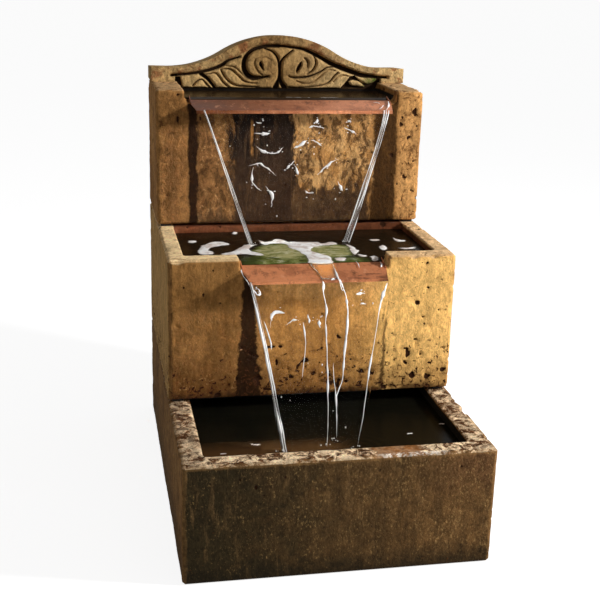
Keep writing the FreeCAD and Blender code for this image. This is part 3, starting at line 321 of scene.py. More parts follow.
class Paint(Nodes):
    """One material for a surface. Its places are in metres, in the frame of the object."""

    def __init__(self, name, **sockets):
        self.material = bpy.data.materials.new(name)
        super().__init__(self.material)
        self.shader = self.tree.nodes["Principled BSDF"]
        self.spot = self.add("TexCoord").outputs["Object"]
        self.x, self.y, self.z = self.split(self.spot)
        for key, value in sockets.items():
            self.set(key.replace("_", " "), value)

    def set(self, key, value):
        self.feed(self.shader.inputs[key], value)

    def split(self, vector):
        return [Value(self, part) for part in self.add("SeparateXYZ", {0: vector}).outputs]

    def facing(self):
        return self.split(self.add("NewGeometry").outputs["Normal"])

    def stored(self, name):
        return Value(self, self.add("Attribute", attribute_name=name).outputs["Fac"])

    def sum(self, kind, *values):
        return Value(self, self.add("Math", dict(enumerate(values)), operation=kind).outputs[0])

    def blend(self, share, first, second):
        return Colour(self, first).coat(share, second)

    def noise(self, size, detail, rough, x=1, y=1, z=1, bent=0.0):
        """Noise from 0 to 1, with features of the given size, drawn out where x, y or z is below 1."""
        spot = self.spot
        if (x, y, z) != (1, 1, 1):
            spot = self.add("VectorMath", {0: spot, 1: [x, y, z]}, operation="MULTIPLY").outputs[0]
        node = self.add("TexNoise", {"Vector": spot, "Scale": 1 / size, "Detail": detail, "Roughness": rough,
                                     "Distortion": bent})
        return Value(self, node.outputs[0])

    def finish(self, colour, rough, *reliefs):
        """Joins it all up. Each relief has its height, its depth in metres and its strength."""
        self.set("Base Color", colour)
        self.set("Roughness", rough)
        below = {}
        for height, depth, strength in reliefs:
            node = self.add("Bump", {"Height": height, "Distance": depth, "Strength": strength, **below})
            below = {"Normal": node.outputs[0]}
        self.set("Normal", below["Normal"])
        return self.material


def cast_stone(name, light, middle, dark, stains_and_light, rim=None, crowd=None, grain=1.0, clouded=0.0):
    """Old cast stone: cloudy tones, run marks, mottle, pits, grit, and whatever stained patches, painted
    light and painted shade that stone has.
    """
    paint = Paint(name, IOR=1.45, Specular_IOR_Level=0.08)
    clouds = paint.noise(0.17, 5, 0.6)
    patches = paint.noise(0.045, 6, 0.65, bent=0.6)
    mottle = paint.noise(0.014, 7, 0.76, z=0.75, bent=0.5)
    grit = paint.noise(0.005, 4, 0.72, z=0.7)
    sand = paint.noise(0.0016, 2, 0.6)
    runs = paint.noise(0.02, 5, 0.65, z=0.1)
    ways = paint.facing()
    skin = paint.blend(clouds.step(0.36, 0.64), middle, light)
    skin.coat(runs.step(0.5, 0.7) * 0.5, dark)
    skin.coat(patches.step(0.52, 0.66) * 0.6, dark)
    skin.coat(patches.step(0.44, 0.3) * 0.45, light)
    wet = stains_and_light(paint, skin, ways, patches, runs)
    if rim is not None:
        rim(paint, skin, ways)
    skin.coat(paint.stored("edge").moved(patches, 0.5).step(0.45, 0.9) * 0.4, light)
    shades = [(mottle, 0.34, 0.62 * grain), (grit, 0.32, 0.44 * grain)]
    if clouded:
        blotches = paint.noise(0.03, 7, 0.72, z=0.6, bent=0.7)
        streaks = paint.noise(0.011, 5, 0.7, z=0.13, bent=0.2)
        shades += [(blotches, 0.36, 0.36 * clouded), (streaks, 0.36, 0.22 * clouded)]
    tone = sand.line(0.3, 0.85)
    for shade, low, reach in shades:
        tone *= shade.step(low, 1 - low).line(reach, 1 - reach / 2)
    skin.shade(tone)
    limit = 0.74
    if crowd is not None:
        limit = crowd(paint).line(-0.15, limit)
    sunk = paint.noise(0.011, 3, 0.6, bent=1.0) - limit
    hole = sunk.step(0.0, 0.03) | paint.stored("pit").step(0.3, 0.7)
    skin.coat(sunk.step(-0.05, -0.01) * 0.5, (108, 60, 28))
    skin.coat(hole | grit.step(0.66, 0.72) * 0.55, (48, 26, 12))
    return paint.finish(skin, wet.line(-0.2, 0.9), (patches, 0.004, 0.5), (mottle, 0.005, 0.75 * grain),
                        (hole.line(-1.5, grit * grain), 0.0026, 0.8), (sand, 0.0006, 0.6))


def pitted_rim(level, cream, patch, lumps, inner, stain=None):
    """The flat top of a rim: pale stone with dark worn hollows; none along the pool's back wall."""
    half, back = inner

    def rim(paint, skin, ways):
        hidden = paint.x.strip(-half, half, 0.001) * paint.y.step(back - 0.001, back + 0.001)
        top = ways[2].step(0.35, 0.75) * paint.z.step(level - 0.022, level - 0.008) * hidden.line(-1, 1)
        ragged = paint.noise(0.009, 6, 0.76, bent=0.8)
        shape = paint.noise(0.028, 9, 0.76, bent=0.9).moved(ragged, 0.1)
        worn = paint.noise(0.07, 4, 0.6, bent=0.5)
        over = shape - (worn - 0.5).line(-0.16, lumps)
        stone = paint.blend(over.step(-0.06, 0.0) * 0.55, cream, (164, 120, 78))
        stone.coat(over.step(-0.005, 0.03), paint.blend(ragged.step(0.48, 0.6), patch, (124, 82, 50)))
        if stain is not None:
            stain(paint, stone)
        skin.coat(top, stone)
    return rim


def fronts(ways):
    """Where the surface faces the front."""
    return (ways[1] * -1).step(0.4, 0.7)


def within(paint, half, front, back, level):
    """The walls inside a pool, below the given level."""
    flat = paint.x.strip(-half, half, 0.0015) * paint.y.strip(front, back, 0.0015)
    return flat * paint.z.step(level + 0.002, level - 0.002)


def middle_rim(paint, stone):
    """The right end of the middle rim is a little browner."""
    stone.coat(paint.x.step(0.1, 0.2) * 0.42, (194, 138, 92))


def lower_rim(paint, stone):
    """Wet brown stretch and lime crust where the lower pool splashes over its front rim; darker sides."""
    x, y = paint.x, paint.y
    broken = paint.noise(0.008, 5, 0.7)
    splash = x.moved(broken, 0.03).strip(0.062, 0.158, 0.006) * y.step(-0.39, -0.40)
    stone.coat(splash * 0.85, (146, 96, 52))
    crust = x.strip(0.07, 0.2, 0.012) * y.moved(broken, 0.02).step(-0.428, -0.434)
    stone.coat(crust * broken.step(0.46, 0.54), (250, 240, 226))
    chunks = paint.noise(0.02, 7, 0.74, bent=0.8).step(0.5, 0.54)
    ends = x.step(-0.256, -0.268) | x.step(0.256, 0.268) * 0.6
    stone.coat(ends * 0.38, (108, 66, 34))
    stone.coat(ends * chunks * 0.75, (60, 35, 19))


# Each of these paints its stone's stained patches, and on some stones painted light and painted shade, over
# the skin of the stone and gives back how wet the stone is.

def lower_stains_and_painted_shade(paint, skin, ways, patches, runs):
    """A damp dark front, grained and pitted, darker towards the left, partly from damp and partly as painted
    shade, and ground grime at the foot of the sides.
    """
    x, z = paint.x, paint.z
    drips = paint.noise(0.016, 5, 0.7, z=0.18, bent=0.3)
    corner = x.step(0.12, 0.28) * z.moved(patches, 0.06).step(0.13, 0.21)
    crowd = x.step(-0.3, 0.15).line(0.14, paint.noise(0.05, 3, 0.6, z=0.5))
    grains = paint.noise(0.0042, 4, 0.72, z=0.6).moved(crowd, 0.15)
    holes = paint.noise(0.0055, 3, 0.65, z=0.6).moved(crowd, -0.08)
    # Darker on the left: partly damp stone, partly painted shade.
    damp = paint.blend(x.moved(patches, 0.24).step(-0.3, 0.31), (50, 41, 24), (104, 75, 43))
    damp.coat(runs.step(0.48, 0.68) * 0.35, (44, 33, 19))
    damp.coat(drips.step(0.52, 0.7) * 0.4, (128, 98, 62))
    damp.coat(corner * 0.5, (88, 58, 38))
    damp.coat(grains.step(0.58, 0.72) * 0.5, (178, 142, 90))
    damp.coat(holes.step(0.62, 0.68) * 0.7, (26, 17, 9))
    damp.coat(z.moved(patches, 0.03).step(0.06, 0.0) * 0.8, (34, 28, 17))
    ground = abs(ways[0]).step(0.4, 0.7) * z.moved(patches, 0.08).step(0.13, 0.02)
    skin.coat(ground * 0.7, (70, 52, 32))
    skin.coat(within(paint, 0.27, -0.408, 0.41, 0.238), (24, 19, 12))
    share = fronts(ways) * z.moved(patches, 0.006).step(0.2465, 0.2385)
    skin.coat(share, damp)
    return share * 0.35


def middle_stains_and_painted_light(paint, skin, ways, patches, runs):
    """Warm on the right and dull on the left, as painted light and painted shade; chipped lower down; a wet
    run under each end of the spillway.
    """
    x, z = paint.x, paint.z
    front = fronts(ways)
    ragged = paint.noise(0.03, 6, 0.72, bent=0.3)
    cracks = paint.noise(0.02, 8, 0.8, bent=1.3)
    half = (z - 0.258).line(-0.066, 0.027)
    away = abs(x.moved(ragged, 0.016) + 0.139)
    left = (half - away).step(-0.002, 0.003) * z.step(0.522, 0.51)
    right = x.moved(ragged, 0.014).strip(0.150, 0.158, 0.003) * z.moved(ragged, 0.06).step(0.46, 0.4) * 0.8
    # Painted shade: the left of the front is painted darker.
    shade = x.step(-0.06, -0.2) * 0.65
    centre = x.strip(-0.1, 0.14, 0.02)
    skin.coats(front, [
        (shade, (111, 75, 33)),
        # Painted light: the top of the shaded left is painted lighter.
        (shade * z.moved(patches, 0.05).step(0.46, 0.53) * 0.85, (166, 120, 68)),
        # Painted light: the right of the front is painted lighter.
        (x.moved(patches, 0.05).step(0.03, 0.17) * 0.85, (255, 202, 120)),
        (centre * 0.6, (180, 126, 64)),
        # Painted light: the top of the centre, where the spillway's shadow falls, is painted lighter.
        (centre * z.moved(patches, 0.04).step(0.44, 0.5) * 0.75, (222, 170, 104)),
    ])
    # Painted light: the faces on the left side are painted lighter.
    skin.coat((ways[0] * -1).step(0.4, 0.7) * 0.85, (194, 154, 96))
    chipped = z.moved(patches, 0.12).step(0.5, 0.3)
    skin.coats(front, [
        (z.moved(patches, 0.12).step(0.34, 0.26) * 0.55, (98, 61, 27)),
        # Painted shade: the lower left is painted darker still.
        (shade * z.moved(patches, 0.06).step(0.36, 0.28) * 0.5, (84, 52, 23)),
        (chipped * cracks.step(0.57, 0.61) * 0.7, (92, 50, 23)),
        # Painted highlights: light flecks among the dark cracks.
        (chipped * cracks.step(0.42, 0.36) * 0.4, (228, 178, 110)),
        (z.moved(patches, 0.03).step(0.268, 0.252) * 0.8, (58, 36, 18)),
    ])
    skin.coat(within(paint, 0.2715, -0.0945, 0.1725, 0.546), (94, 54, 33))
    behind = x.strip(-0.2715, 0.2715, 0.0015) * paint.y.strip(0.152, 0.19, 0.002)
    skin.coat(behind * z.step(0.5, 0.51), (98, 55, 33))
    skin.coat(front * x.moved(patches, 0.003).step(-0.2945, -0.2985) * 0.75, (62, 39, 20))
    wet = front * (left | right)
    skin.coat(wet, (40, 22, 6))
    return wet


def middle_crowd(paint):
    """Pits of the middle tier crowd towards its bottom and its right."""
    low = paint.z.moved(paint.noise(0.06, 3, 0.6), 0.08).step(0.43, 0.27)
    return low | paint.x.step(0.14, 0.2) * 0.45


def upper_stains_and_painted_light(paint, skin, ways, patches, runs):
    """Soaked bands behind the fall and beside it, with a blotched dry stretch between them; painted shade
    darkens the left half, and painted light brightens the right post.
    """
    x, z = paint.x, paint.z
    front = fronts(ways)
    ragged = paint.noise(0.04, 6, 0.74, z=0.45, bent=0.4)
    drips = paint.noise(0.02, 5, 0.7, z=0.2)
    broad = paint.noise(0.05, 4, 0.6, z=0.3, bent=0.4)
    fine = paint.noise(0.009, 5, 0.72, z=0.14, bent=0.5)
    cracks = paint.noise(0.024, 8, 0.8, z=0.7, bent=1.2)
    blots = paint.noise(0.02, 6, 0.72, z=0.6, bent=0.6)
    drift = x.moved(ragged, 0.05)
    straight = x.moved(ragged, 0.016)
    height = z.moved(drips, 0.07).moved(ragged, 0.05)
    left = straight.strip(-0.235, -0.214, 0.003)
    centre = drift.strip(-0.138, 0.006, 0.006)
    right = straight.strip(0.193, 0.2465, 0.003)
    below = drift.strip(0.0, 0.2, 0.005) * height.step(0.648, 0.632) * 0.9
    foot = drift.strip(-0.215, -0.13, 0.005) * height.step(0.585, 0.565) * 0.7
    streaks = fine.step(0.45, 0.72) * broad.step(0.36, 0.62)
    gold = x.moved(ragged, 0.006).strip(-0.0935, -0.0865, 0.0015)
    gold *= z.moved(drips, 0.03).strip(0.708, 0.79, 0.006)
    soaked = paint.blend(z.moved(broad, 0.16).step(0.58, 0.76), (57, 38, 24), (22, 13, 7))
    soaked.coat(streaks * 0.7, (112, 80, 50))
    soaked.coat(right, paint.blend(broad.step(0.3, 0.7), (57, 35, 12), (84, 55, 23)))
    soaked.coat(left, (38, 20, 5))
    soaked.coat(gold * fine.step(0.36, 0.56) * 0.55, (172, 118, 58))
    behind = x.strip(-0.215, 0.0, 0.004)
    column = x.moved(ragged, 0.02).strip(-0.284, -0.256, 0.004)
    # The right post: drier stone, painted lighter as painted light.
    bright = x.step(0.245, 0.26)
    post = x.step(-0.24, -0.25)
    dry = drift.strip(0.004, 0.194, 0.006)
    marked = dry | behind * 0.85
    skin.coats(front, [
        # Painted shade: the left half of the front is painted darker.
        (x.step(0.0, -0.08) * 0.65, (128, 89, 49)),
        (behind * 0.35, (96, 63, 36)),
        (column * broad.step(0.36, 0.56) * 0.6, (98, 66, 36)),
        (bright * 0.65, (214, 160, 98)),
        (bright * cracks.step(0.53, 0.58) * 0.75, (92, 56, 28)),
        (post * cracks.step(0.55, 0.59) * 0.7, (76, 47, 24)),
        (post * cracks.step(0.42, 0.36) * 0.5, (190, 144, 88)),
        (dry * patches.step(0.42, 0.56) * 0.65, (192, 150, 98)),
        (marked * cracks.step(0.55, 0.59) * 0.8, (58, 35, 17)),
        (marked * cracks.step(0.43, 0.37) * 0.6, (222, 178, 118)),
        (marked * blots.step(0.48, 0.6) * 0.85, (66, 41, 21)),
        (marked * blots.step(0.44, 0.34) * 0.5, (204, 160, 104)),
        (drift.strip(-0.22, 0.2, 0.01) * streaks * 0.4, (84, 58, 34)),
    ])
    wet = front * (left | centre | right | below | foot)
    skin.coat(wet, soaked)
    skin.coat(within(paint, 0.2475, 0.2, 0.358, 0.8445), (20, 14, 9))
    return wet


def upper_crowd(paint):
    """Pits of the upper tier crowd on its right post."""
    return paint.x.step(0.23, 0.26) * 0.6


def crest_stains_and_painted_light(paint, skin, ways, patches, runs):
    """Dirt and painted shade in the carving, red and flecked patches on the border, a little moss at the
    right end, and a little painted light on the right half.
    """
    x = paint.x
    border = paint.stored("border")
    flecks = paint.noise(0.01, 6, 0.76, bent=0.6)
    skin.coat(abs(x).step(0.05, 0.17) * 0.5, (226, 190, 130))
    # Painted light: the right half is painted a little lighter.
    skin.coat(x.step(0.0, 0.1) * 0.14, (240, 208, 156))
    skin.coats(border, [
        (paint.noise(0.035, 4, 0.65).step(0.5, 0.62) * 0.75, (150, 86, 52)),
        (runs.step(0.42, 0.7) * 0.35, (116, 80, 44)),
        (abs(x).step(0.19, 0.06) * 0.15, (112, 78, 46)),
        (flecks.step(0.53, 0.6) * 0.6, (78, 50, 26)),
        (flecks.step(0.42, 0.36) * 0.5, (206, 168, 112)),
    ])
    skin.coat(paint.stored("moss") * patches.step(0.38, 0.56), (84, 98, 34))
    # Dirt and painted shade: the carving is painted darker the deeper it is sunk.
    dirt_and_shade = paint.stored("sunk").moved(patches, 0.12).step(0.34, 0.78)
    skin.coat(dirt_and_shade, (40, 26, 13))
    return dirt_and_shade * 0.2


def copper_paint():
    """Weathered copper: dark on the left of the upper tray, with a painted orange highlight under the tongue
    of water on the middle one.
    """
    paint = Paint("weathered_copper", Metallic=0.14, Specular_IOR_Level=0.08)
    x, z = paint.x, paint.z
    clouds = paint.noise(0.05, 5, 0.65, x=0.6, bent=0.4)
    scale = paint.noise(0.008, 5, 0.72)
    runs = paint.noise(0.014, 5, 0.68, y=0.35, z=0.3, bent=0.3)
    brush = paint.noise(0.004, 3, 0.5, x=0.05)
    skin = paint.blend(x.step(0.04, -0.06), (190, 120, 81), (212, 136, 92))
    skin.coat(z.step(0.6, 0.7), paint.blend(x.step(-0.24, 0.22), (93, 48, 21), (212, 138, 98)))
    skin.coat(clouds.step(0.46, 0.62) * 0.6, (132, 76, 50))
    skin.coat(runs.step(0.52, 0.68) * 0.6, (82, 48, 34))
    skin.coat(runs.step(0.42, 0.3) * 0.45, (230, 166, 126))
    skin.coat(scale.step(0.56, 0.7) * 0.55, (84, 50, 36))
    skin.coat(scale.step(0.42, 0.3) * 0.4, (236, 180, 142))
    # Painted highlight: orange light where the tongue of water runs over the middle tray.
    tongue = x.moved(runs, 0.03).strip(0.002, 0.038, 0.012) * z.moved(runs, 0.006).step(0.514, 0.524)
    skin.coats(z.step(0.7, 0.6), [
        (tongue * 0.95, (255, 178, 92)),
        (x.step(0.05, 0.1) * clouds.step(0.5, 0.58) * 0.65, (66, 38, 24)),
    ])
    return paint.finish(skin, clouds.line(0.34, 0.26), (clouds, 0.003, 0.4), (scale, 0.0008, 0.5),
                        (brush, 0.0006, 0.4))


POOL_LAYERS = ("foam_and_glints", "green", "murk", "tint")


def pool_paint():
    """Dark water with green clouds and white froth, where the pool's points say so; the same white draws
    painted glints, and the white and the green carry painted shade and painted sheen.
    """
    paint = Paint("pool_water", IOR=1.33, Specular_IOR_Level=0.05)
    foam_and_glints, green, murk, tint = [paint.stored(layer) for layer in POOL_LAYERS]
    broken = paint.noise(0.005, 5, 0.72)
    drawn = paint.noise(0.014, 5, 0.7, x=0.45, bent=0.6)
    cloudy = paint.noise(0.026, 6, 0.72, x=0.7, bent=0.9)
    algae = green.moved(cloudy, 0.95).moved(drawn, 0.45)
    near = green.step(0.0, 0.35)
    white = foam_and_glints.moved(drawn, 0.3).moved(broken, 0.14).step(0.36, 0.66)
    # Painted shade on the white: greyer in places, brighter in others.
    painted_shade_in_white = paint.noise(0.03, 4, 0.6, bent=0.6).step(0.38, 0.6)
    skin = paint.blend(paint.noise(0.08, 3, 0.5), (9, 10, 6), (18, 16, 10))
    # A brown tint of the water; at the front left of the lower pool it is a painted reflection of the stone.
    skin.coat(tint, (96, 66, 38))
    skin.coat(murk.step(0.0, 0.3) * murk.moved(drawn, 0.3).step(0.1, 0.9), (62, 70, 32))
    skin.coat(near * algae.step(0.05, 0.8), (100, 108, 50))
    skin.coat(near * algae.step(0.5, 1.25) * 0.85, (188, 180, 126))
    # Painted sheen: a pale gloss over the green.
    skin.coat(green.step(0.1, 0.7) * drawn.step(0.52, 0.7) * 0.5, (232, 228, 208))
    skin.coat(foam_and_glints.step(0.0, 0.5) * 0.3, (190, 178, 168))
    skin.coat(white, paint.blend(painted_shade_in_white, (216, 202, 194), (255, 254, 251)))
    return paint.finish(skin, white.line(0.3, 0.25), (paint.noise(0.016, 3, 0.5), 0.0008, 0.25),
                        (white * broken, 0.002, 0.5))


def sheet_paint():
    """Clear falling water, so thin that it hardly bends or mirrors what is behind it."""
    paint = Paint("falling_sheet", IOR=1.06, Transmission_Weight=1.0, Specular_IOR_Level=0.3)
    streaks = paint.noise(0.012, 3, 0.55, z=0.15)
    return paint.finish(paint.blend(streaks, (244, 244, 240), (255, 255, 255)), 0.02, (streaks, 0.0015, 0.4))


def foam_paint(name, clear, tint=(255, 255, 254)):
    """White broken water, which scatters the light or lets some of it through."""
    paint = Paint(name, IOR=1.3, Transmission_Weight=clear, Specular_IOR_Level=0.6, Subsurface_Weight=1.0,
                  Subsurface_Radius=[1.0, 1.0, 1.0], Subsurface_Scale=0.0008)
    beads = paint.noise(0.005, 4, 0.65, z=0.4)
    colour = paint.blend(beads.step(0.35, 0.65), (250, 246, 240), tint)
    return paint.finish(colour, 0.18, (beads, 0.0008, 0.35))


def moulded(name, screen, rough, grain=0.0006, metal=0.0):
    """Moulded plastic, rubber, ceramic or drawn metal, with a fine grain and a little dust."""
    paint = Paint(name, Metallic=metal)
    dust = paint.noise(0.02, 4, 0.6)
    colour = written(*screen)
    pale = [min(1.0, value * 1.5 + 0.01) for value in colour[:3]] + [1.0]
    skin = paint.blend(dust.step(0.45, 0.75) * 0.6, colour, pale)
    return paint.finish(skin, dust.line(0.25, rough - 0.1), (paint.noise(grain, 2, 0.5), 0.0002, 0.5))


# Stones: the CAD shapes with worn edges, pits and an uneven face, in metres

VOXEL = 0.005
WELD = 1e-5
SKIN = 0.006
PIT_SIZE = 0.017
PIT_DEPTH = 0.0028
CHIP_DEPTH = 0.0045
UNDERSIDE = -0.7
LEDGE = 0.2


def stand_for(piece, node, material):
    """Puts a stone in the place of its CAD node."""
    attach(piece, BODY)
    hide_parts(node)
    dress(piece, material)


def weathered(node, seed, faces, waterline, covered, pits, material):
    """A copy of a stone with its visible faces worn, and none of those that the stone above covers."""
    low, high = (np.array(corner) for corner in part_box(node))
    covered_y, covered_z = covered
    piece = add_object("worn_" + node, NODES[node].data.copy())
    edit(piece, bmesh.ops.remove_doubles, "verts", dist=WELD)
    piece.data = worked(piece, "REMESH", mode="VOXEL", voxel_size=VOXEL)

    def gaps(spots):
        side = high[0] - np.abs(spots[:, 0])
        ends = np.minimum(spots[:, 1] - low[1], high[1] - spots[:, 1])
        return side, ends, high[2] - spots[:, 2]

    def edge_share(spots):
        nearest = np.sort(np.stack(gaps(spots)), axis=0)
        return ease(nearest[1], 0.016, 0.002)

    def pit_share(spots):
        limit = pits(spots)
        return ease(layered(spots, PIT_SIZE, seed + 20, 3), limit, limit + 0.05)

    spots = triples(piece.data.vertices, "co")
    ways = triples(piece.data.vertex_normals, "vector")
    side, ends, top = gaps(spots)
    along, up = spots[:, 1], spots[:, 2]
    seen = np.minimum(np.minimum(side, ends), top) < SKIN
    seen |= (up > waterline) & (along < covered_y + LEDGE)
    seen &= ways[:, 2] > UNDERSIDE
    seen &= ~((along > covered_y + SKIN) & (up > covered_z) & (side > 0.008) & (ends > 0.008))
    chips = edge_share(spots) * ease(layered(spots, 0.03, seed, 3), 0.56, 0.74) * CHIP_DEPTH
    uneven = (layered(spots, 0.11, seed + 5, 2) - 0.5) * 0.0016
    uneven += (layered(spots, 0.018, seed + 9, 2) - 0.4) * 0.0012
    sunk = (uneven + chips + pit_share(spots) * PIT_DEPTH) * seen
    piece.data.vertices.foreach_set("co", (spots - ways * sunk[:, None]).ravel())
    piece.data.update()
    count = len(piece.data.polygons) * 2
    piece.data = worked(piece, "DECIMATE", ratio=min(1.0, faces / count), use_collapse_triangulate=True)
    spots = triples(piece.data.vertices, "co")
    keep_value(piece.data, "edge", edge_share(spots))
    keep_value(piece.data, "pit", pit_share(spots))
    make_smooth(piece.data)
    stand_for(piece, node, material)


# How deep a noise has to reach before it makes a pit: the lower, the more pits.

def few_pits(spots):
    return np.full(len(spots), 0.76)


def middle_pits(spots):
    low = ease(spots[:, 2], 0.42, 0.26)
    right = ease(spots[:, 0], 0.15, 0.2)
    return 0.73 - 0.085 * low - 0.035 * right


def upper_pits(spots):
    return 0.75 - 0.08 * ease(spots[:, 0], 0.23, 0.26)


UMBER = [(150, 112, 68), (122, 88, 52), (72, 50, 29)]
SAND = [(184, 147, 94), (158, 122, 74), (96, 66, 36)]
OCHRE = [(184, 134, 78), (150, 105, 57), (92, 60, 30)]
LOWER_RIM = pitted_rim(0.243, (254, 228, 188), (54, 31, 15), 0.515, (0.26, 0.38), lower_rim)
MIDDLE_RIM = pitted_rim(0.55, (250, 217, 164), (156, 112, 70), 0.64, (0.2685, 0.15), middle_rim)
UPPER_RIM = pitted_rim(0.857, (212, 170, 120), (112, 76, 44), 0.57, (0.243, 0.3))
weathered("lower_basin", seed=1, faces=60000, waterline=0.21, covered=(-0.13, 0.236), pits=few_pits,
          material=cast_stone("lower_stone", *UMBER, lower_stains_and_painted_shade, LOWER_RIM, clouded=0.6))
weathered("middle_tier", seed=2, faces=64000, waterline=0.525, covered=(0.168, 0.544), pits=middle_pits,
          material=cast_stone("middle_stone", *OCHRE, middle_stains_and_painted_light, MIDDLE_RIM, middle_crowd,
                              grain=0.6, clouded=1.0))
weathered("upper_tier", seed=3, faces=52000, waterline=0.825, covered=(0.341, 0.836), pits=upper_pits,
          material=cast_stone("upper_stone", *OCHRE, upper_stains_and_painted_light, UPPER_RIM, upper_crowd,
                              grain=0.85, clouded=0.7))


# Crest: an arched slab whose front is carved with two volutes and leaf scrolls.
# Its places are in millimetres, across from the centre line and up; each half has its own carving.
# A groove is a line, half its width along it, and its depth.

HALF_WIDTH = 305
TONGUE = 242.8
CREST_FRONT = 341
CREST_BACK = 445
SHOULDER = 892
APEX = 967
CHEEK_TOP = 857
SEAT = 841
BORDER = 25
ARCH_RUN = 262
WASH = 6
ARCH_RISE = APEX - SHOULDER
ARCH_RADIUS = (ARCH_RUN ** 2 + ARCH_RISE ** 2) / (4 * ARCH_RISE)
FIELD_DEPTH = 13
HOLLOW_DEPTH = 12
LEAFLET_RISE = 10
EDGE_ROUND = 1.2

UNDER_EDGE = ([(-20, 841), (260, 841)], (2.2, 2.2), 9)
LEFT_GROOVES = [
    UNDER_EDGE,
    ([(257, 871), (227, 874), (202, 877), (173, 883), (151, 890), (135, 898), (124, 906), (97, 915)],
     (2.0, 2.2, 3.0, 3.2, 0.5), 12),
    ([(-12, 941), (25, 941), (46, 938), (64, 932), (76, 923), (83, 912), (86, 900), (85, 888), (80, 877),
      (71, 869), (60, 866), (45, 867), (27, 870)], (2.8, 3.0, 3.4, 4.8, 4.6, 0.5), 13),
    ([(37, 935), (20, 929), (9, 919), (3, 907), (1, 895), (0, 876), (2, 861), (9, 845)],
     (0.6, 1.4, 2.0, 2.4, 5.5), 11),
    ([(59, 911), (61, 900), (58, 890), (51, 880), (41, 873)], (0.4, 1.2, 0.5), 4),
    ([(48, 912), (35, 915), (20, 908)], (0.3, 0.8, 0.3), 2.5),
    ([(129, 894), (109, 891), (97, 882), (87, 873), (75, 864), (58, 861)], (0.5, 1.1, 0.6), 6),
    ([(142, 885), (130, 887), (118, 886), (107, 878), (96, 868), (86, 859), (73, 855), (57, 854)],
     (0.9, 1.4, 0.7), 7),
    ([(141, 885), (135, 874), (126, 862), (113, 852), (98, 847), (77, 846), (53, 845)], (1.4, 1.2, 1.0), 8),
    ([(175, 874), (155, 877), (145, 869), (137, 858), (128, 849), (119, 843)], (0.8, 1.4, 1.2), 7),
    ([(188, 876), (172, 864), (162, 852), (155, 843)], (3.8, 2.6, 2.2), 12),
    ([(207, 848), (197, 858), (185, 862), (176, 853), (166, 843)], (1.0, 1.2, 1.6), 8),
]
LEFT_HOLLOWS = [
    [(46, 906), (41, 899), (38, 884), (43, 888), (50, 897), (49, 903)],
    [(249, 869), (236, 869), (231, 843), (249, 843)],
]
RIGHT_GROOVES = [
    UNDER_EDGE,
    ([(-25, 941), (6, 941), (32, 938), (54, 935), (75, 927), (100, 915), (124, 902), (149, 892),
      (169, 885), (194, 877), (219, 873), (243, 870), (263, 870)],
     (1.8, 1.9, 2.6, 4.0, 4.6, 3.0, 1.8), 13),
    ([(31, 932), (16, 920), (4, 907), (1, 892), (1, 873), (4, 857), (13, 843)],
     (0.6, 1.6, 2.2, 2.4, 5.5), 11),
    ([(71, 929), (83, 918), (87, 907), (86, 896), (78, 884), (67, 876)], (0.8, 1.5, 1.4, 0.5), 8),
    ([(22, 871), (31, 868), (48, 868), (67, 870), (84, 875), (101, 883), (115, 892), (132, 894)],
     (0.5, 1.8, 1.8, 1.4, 0.8), 9),
    ([(59, 914), (65, 909), (68, 901), (67, 892)], (0.4, 1.8, 0.5), 7),
    ([(41, 860), (58, 854), (78, 856), (94, 867), (108, 880), (120, 886), (135, 886)], (0.6, 1.3, 0.6), 6),
    ([(20, 845), (49, 844), (83, 847), (107, 851), (124, 860), (133, 872), (142, 880)], (0.8, 1.0, 1.3), 8),
    ([(131, 859), (141, 869), (155, 874), (169, 872)], (0.6, 1.1, 0.6), 6),
    ([(153, 844), (167, 860), (174, 870)], (1.2, 1.5, 1.2), 10),
]
RIGHT_HOLLOWS = [
    [(52, 906), (54, 897), (48, 885), (41, 878), (39, 885), (44, 897), (49, 904)],
    [(153, 843), (166, 858), (174, 870), (186, 876), (219, 871), (249, 869), (249, 843)],
]
RIGHT_LEAFLETS = [
    [(168, 859), (177, 864), (192, 862), (205, 855), (211, 846), (188, 848), (175, 850)],
    [(182, 875), (199, 871), (219, 869), (240, 867), (232, 857), (212, 853), (194, 863)],
]


def arch(across):
    """Height of the crest's top over a place across it."""
    across = np.abs(across)
    dome = APEX - ARCH_RADIUS + np.sqrt(np.maximum(ARCH_RADIUS ** 2 - across ** 2, 0))
    reach = np.clip(ARCH_RUN - across, 0, ARCH_RADIUS)
    hollow = SHOULDER + ARCH_RADIUS - np.sqrt(ARCH_RADIUS ** 2 - reach ** 2)
    return np.where(across < ARCH_RUN / 2, dome, hollow)


def swell(depth, reach):
    """A rounded rise from 0 at an outline to 1 at the given depth inside it."""
    share = np.clip(depth / reach, 0, 1)
    return np.sqrt(1 - (1 - share) ** 2)


def groove_depth(across, up, line, widths, depth):
    """How far a groove with rounded shoulders lies behind the front."""
    path = curve_through(line, 6)
    half = np.interp(np.linspace(0, 1, len(path)), np.linspace(0, 1, len(widths)), widths)
    clear = line_distance(across, up, path, half)
    return depth * (1 - swell(clear, 3 + depth / 3))


def carving(across, up, grooves, hollows, leaflets=()):
    """How far the carved surface lies behind the crest's front, on one half of it."""
    depth = np.zeros(across.shape)
    for outline in hollows:
        inside = depth_inside(across, up, np.array(outline, float))
        depth = np.maximum(depth, HOLLOW_DEPTH * ease(inside, -1.2, 1.8))
    for outline in leaflets:
        inside = depth_inside(across, up, curve_through(outline + outline[:1], 5))
        depth = np.minimum(depth, HOLLOW_DEPTH - LEAFLET_RISE * swell(inside, 7))
    for line, widths, deep in grooves:
        depth = np.maximum(depth, groove_depth(across, up, line, widths, deep))
    return depth


def edge_gap(across, up):
    """How far a place on the front is from the crest's top edge."""
    line = np.linspace(0, HALF_WIDTH, 160)
    return line_distance(np.abs(across), up, np.stack([line, arch(line)], axis=1))


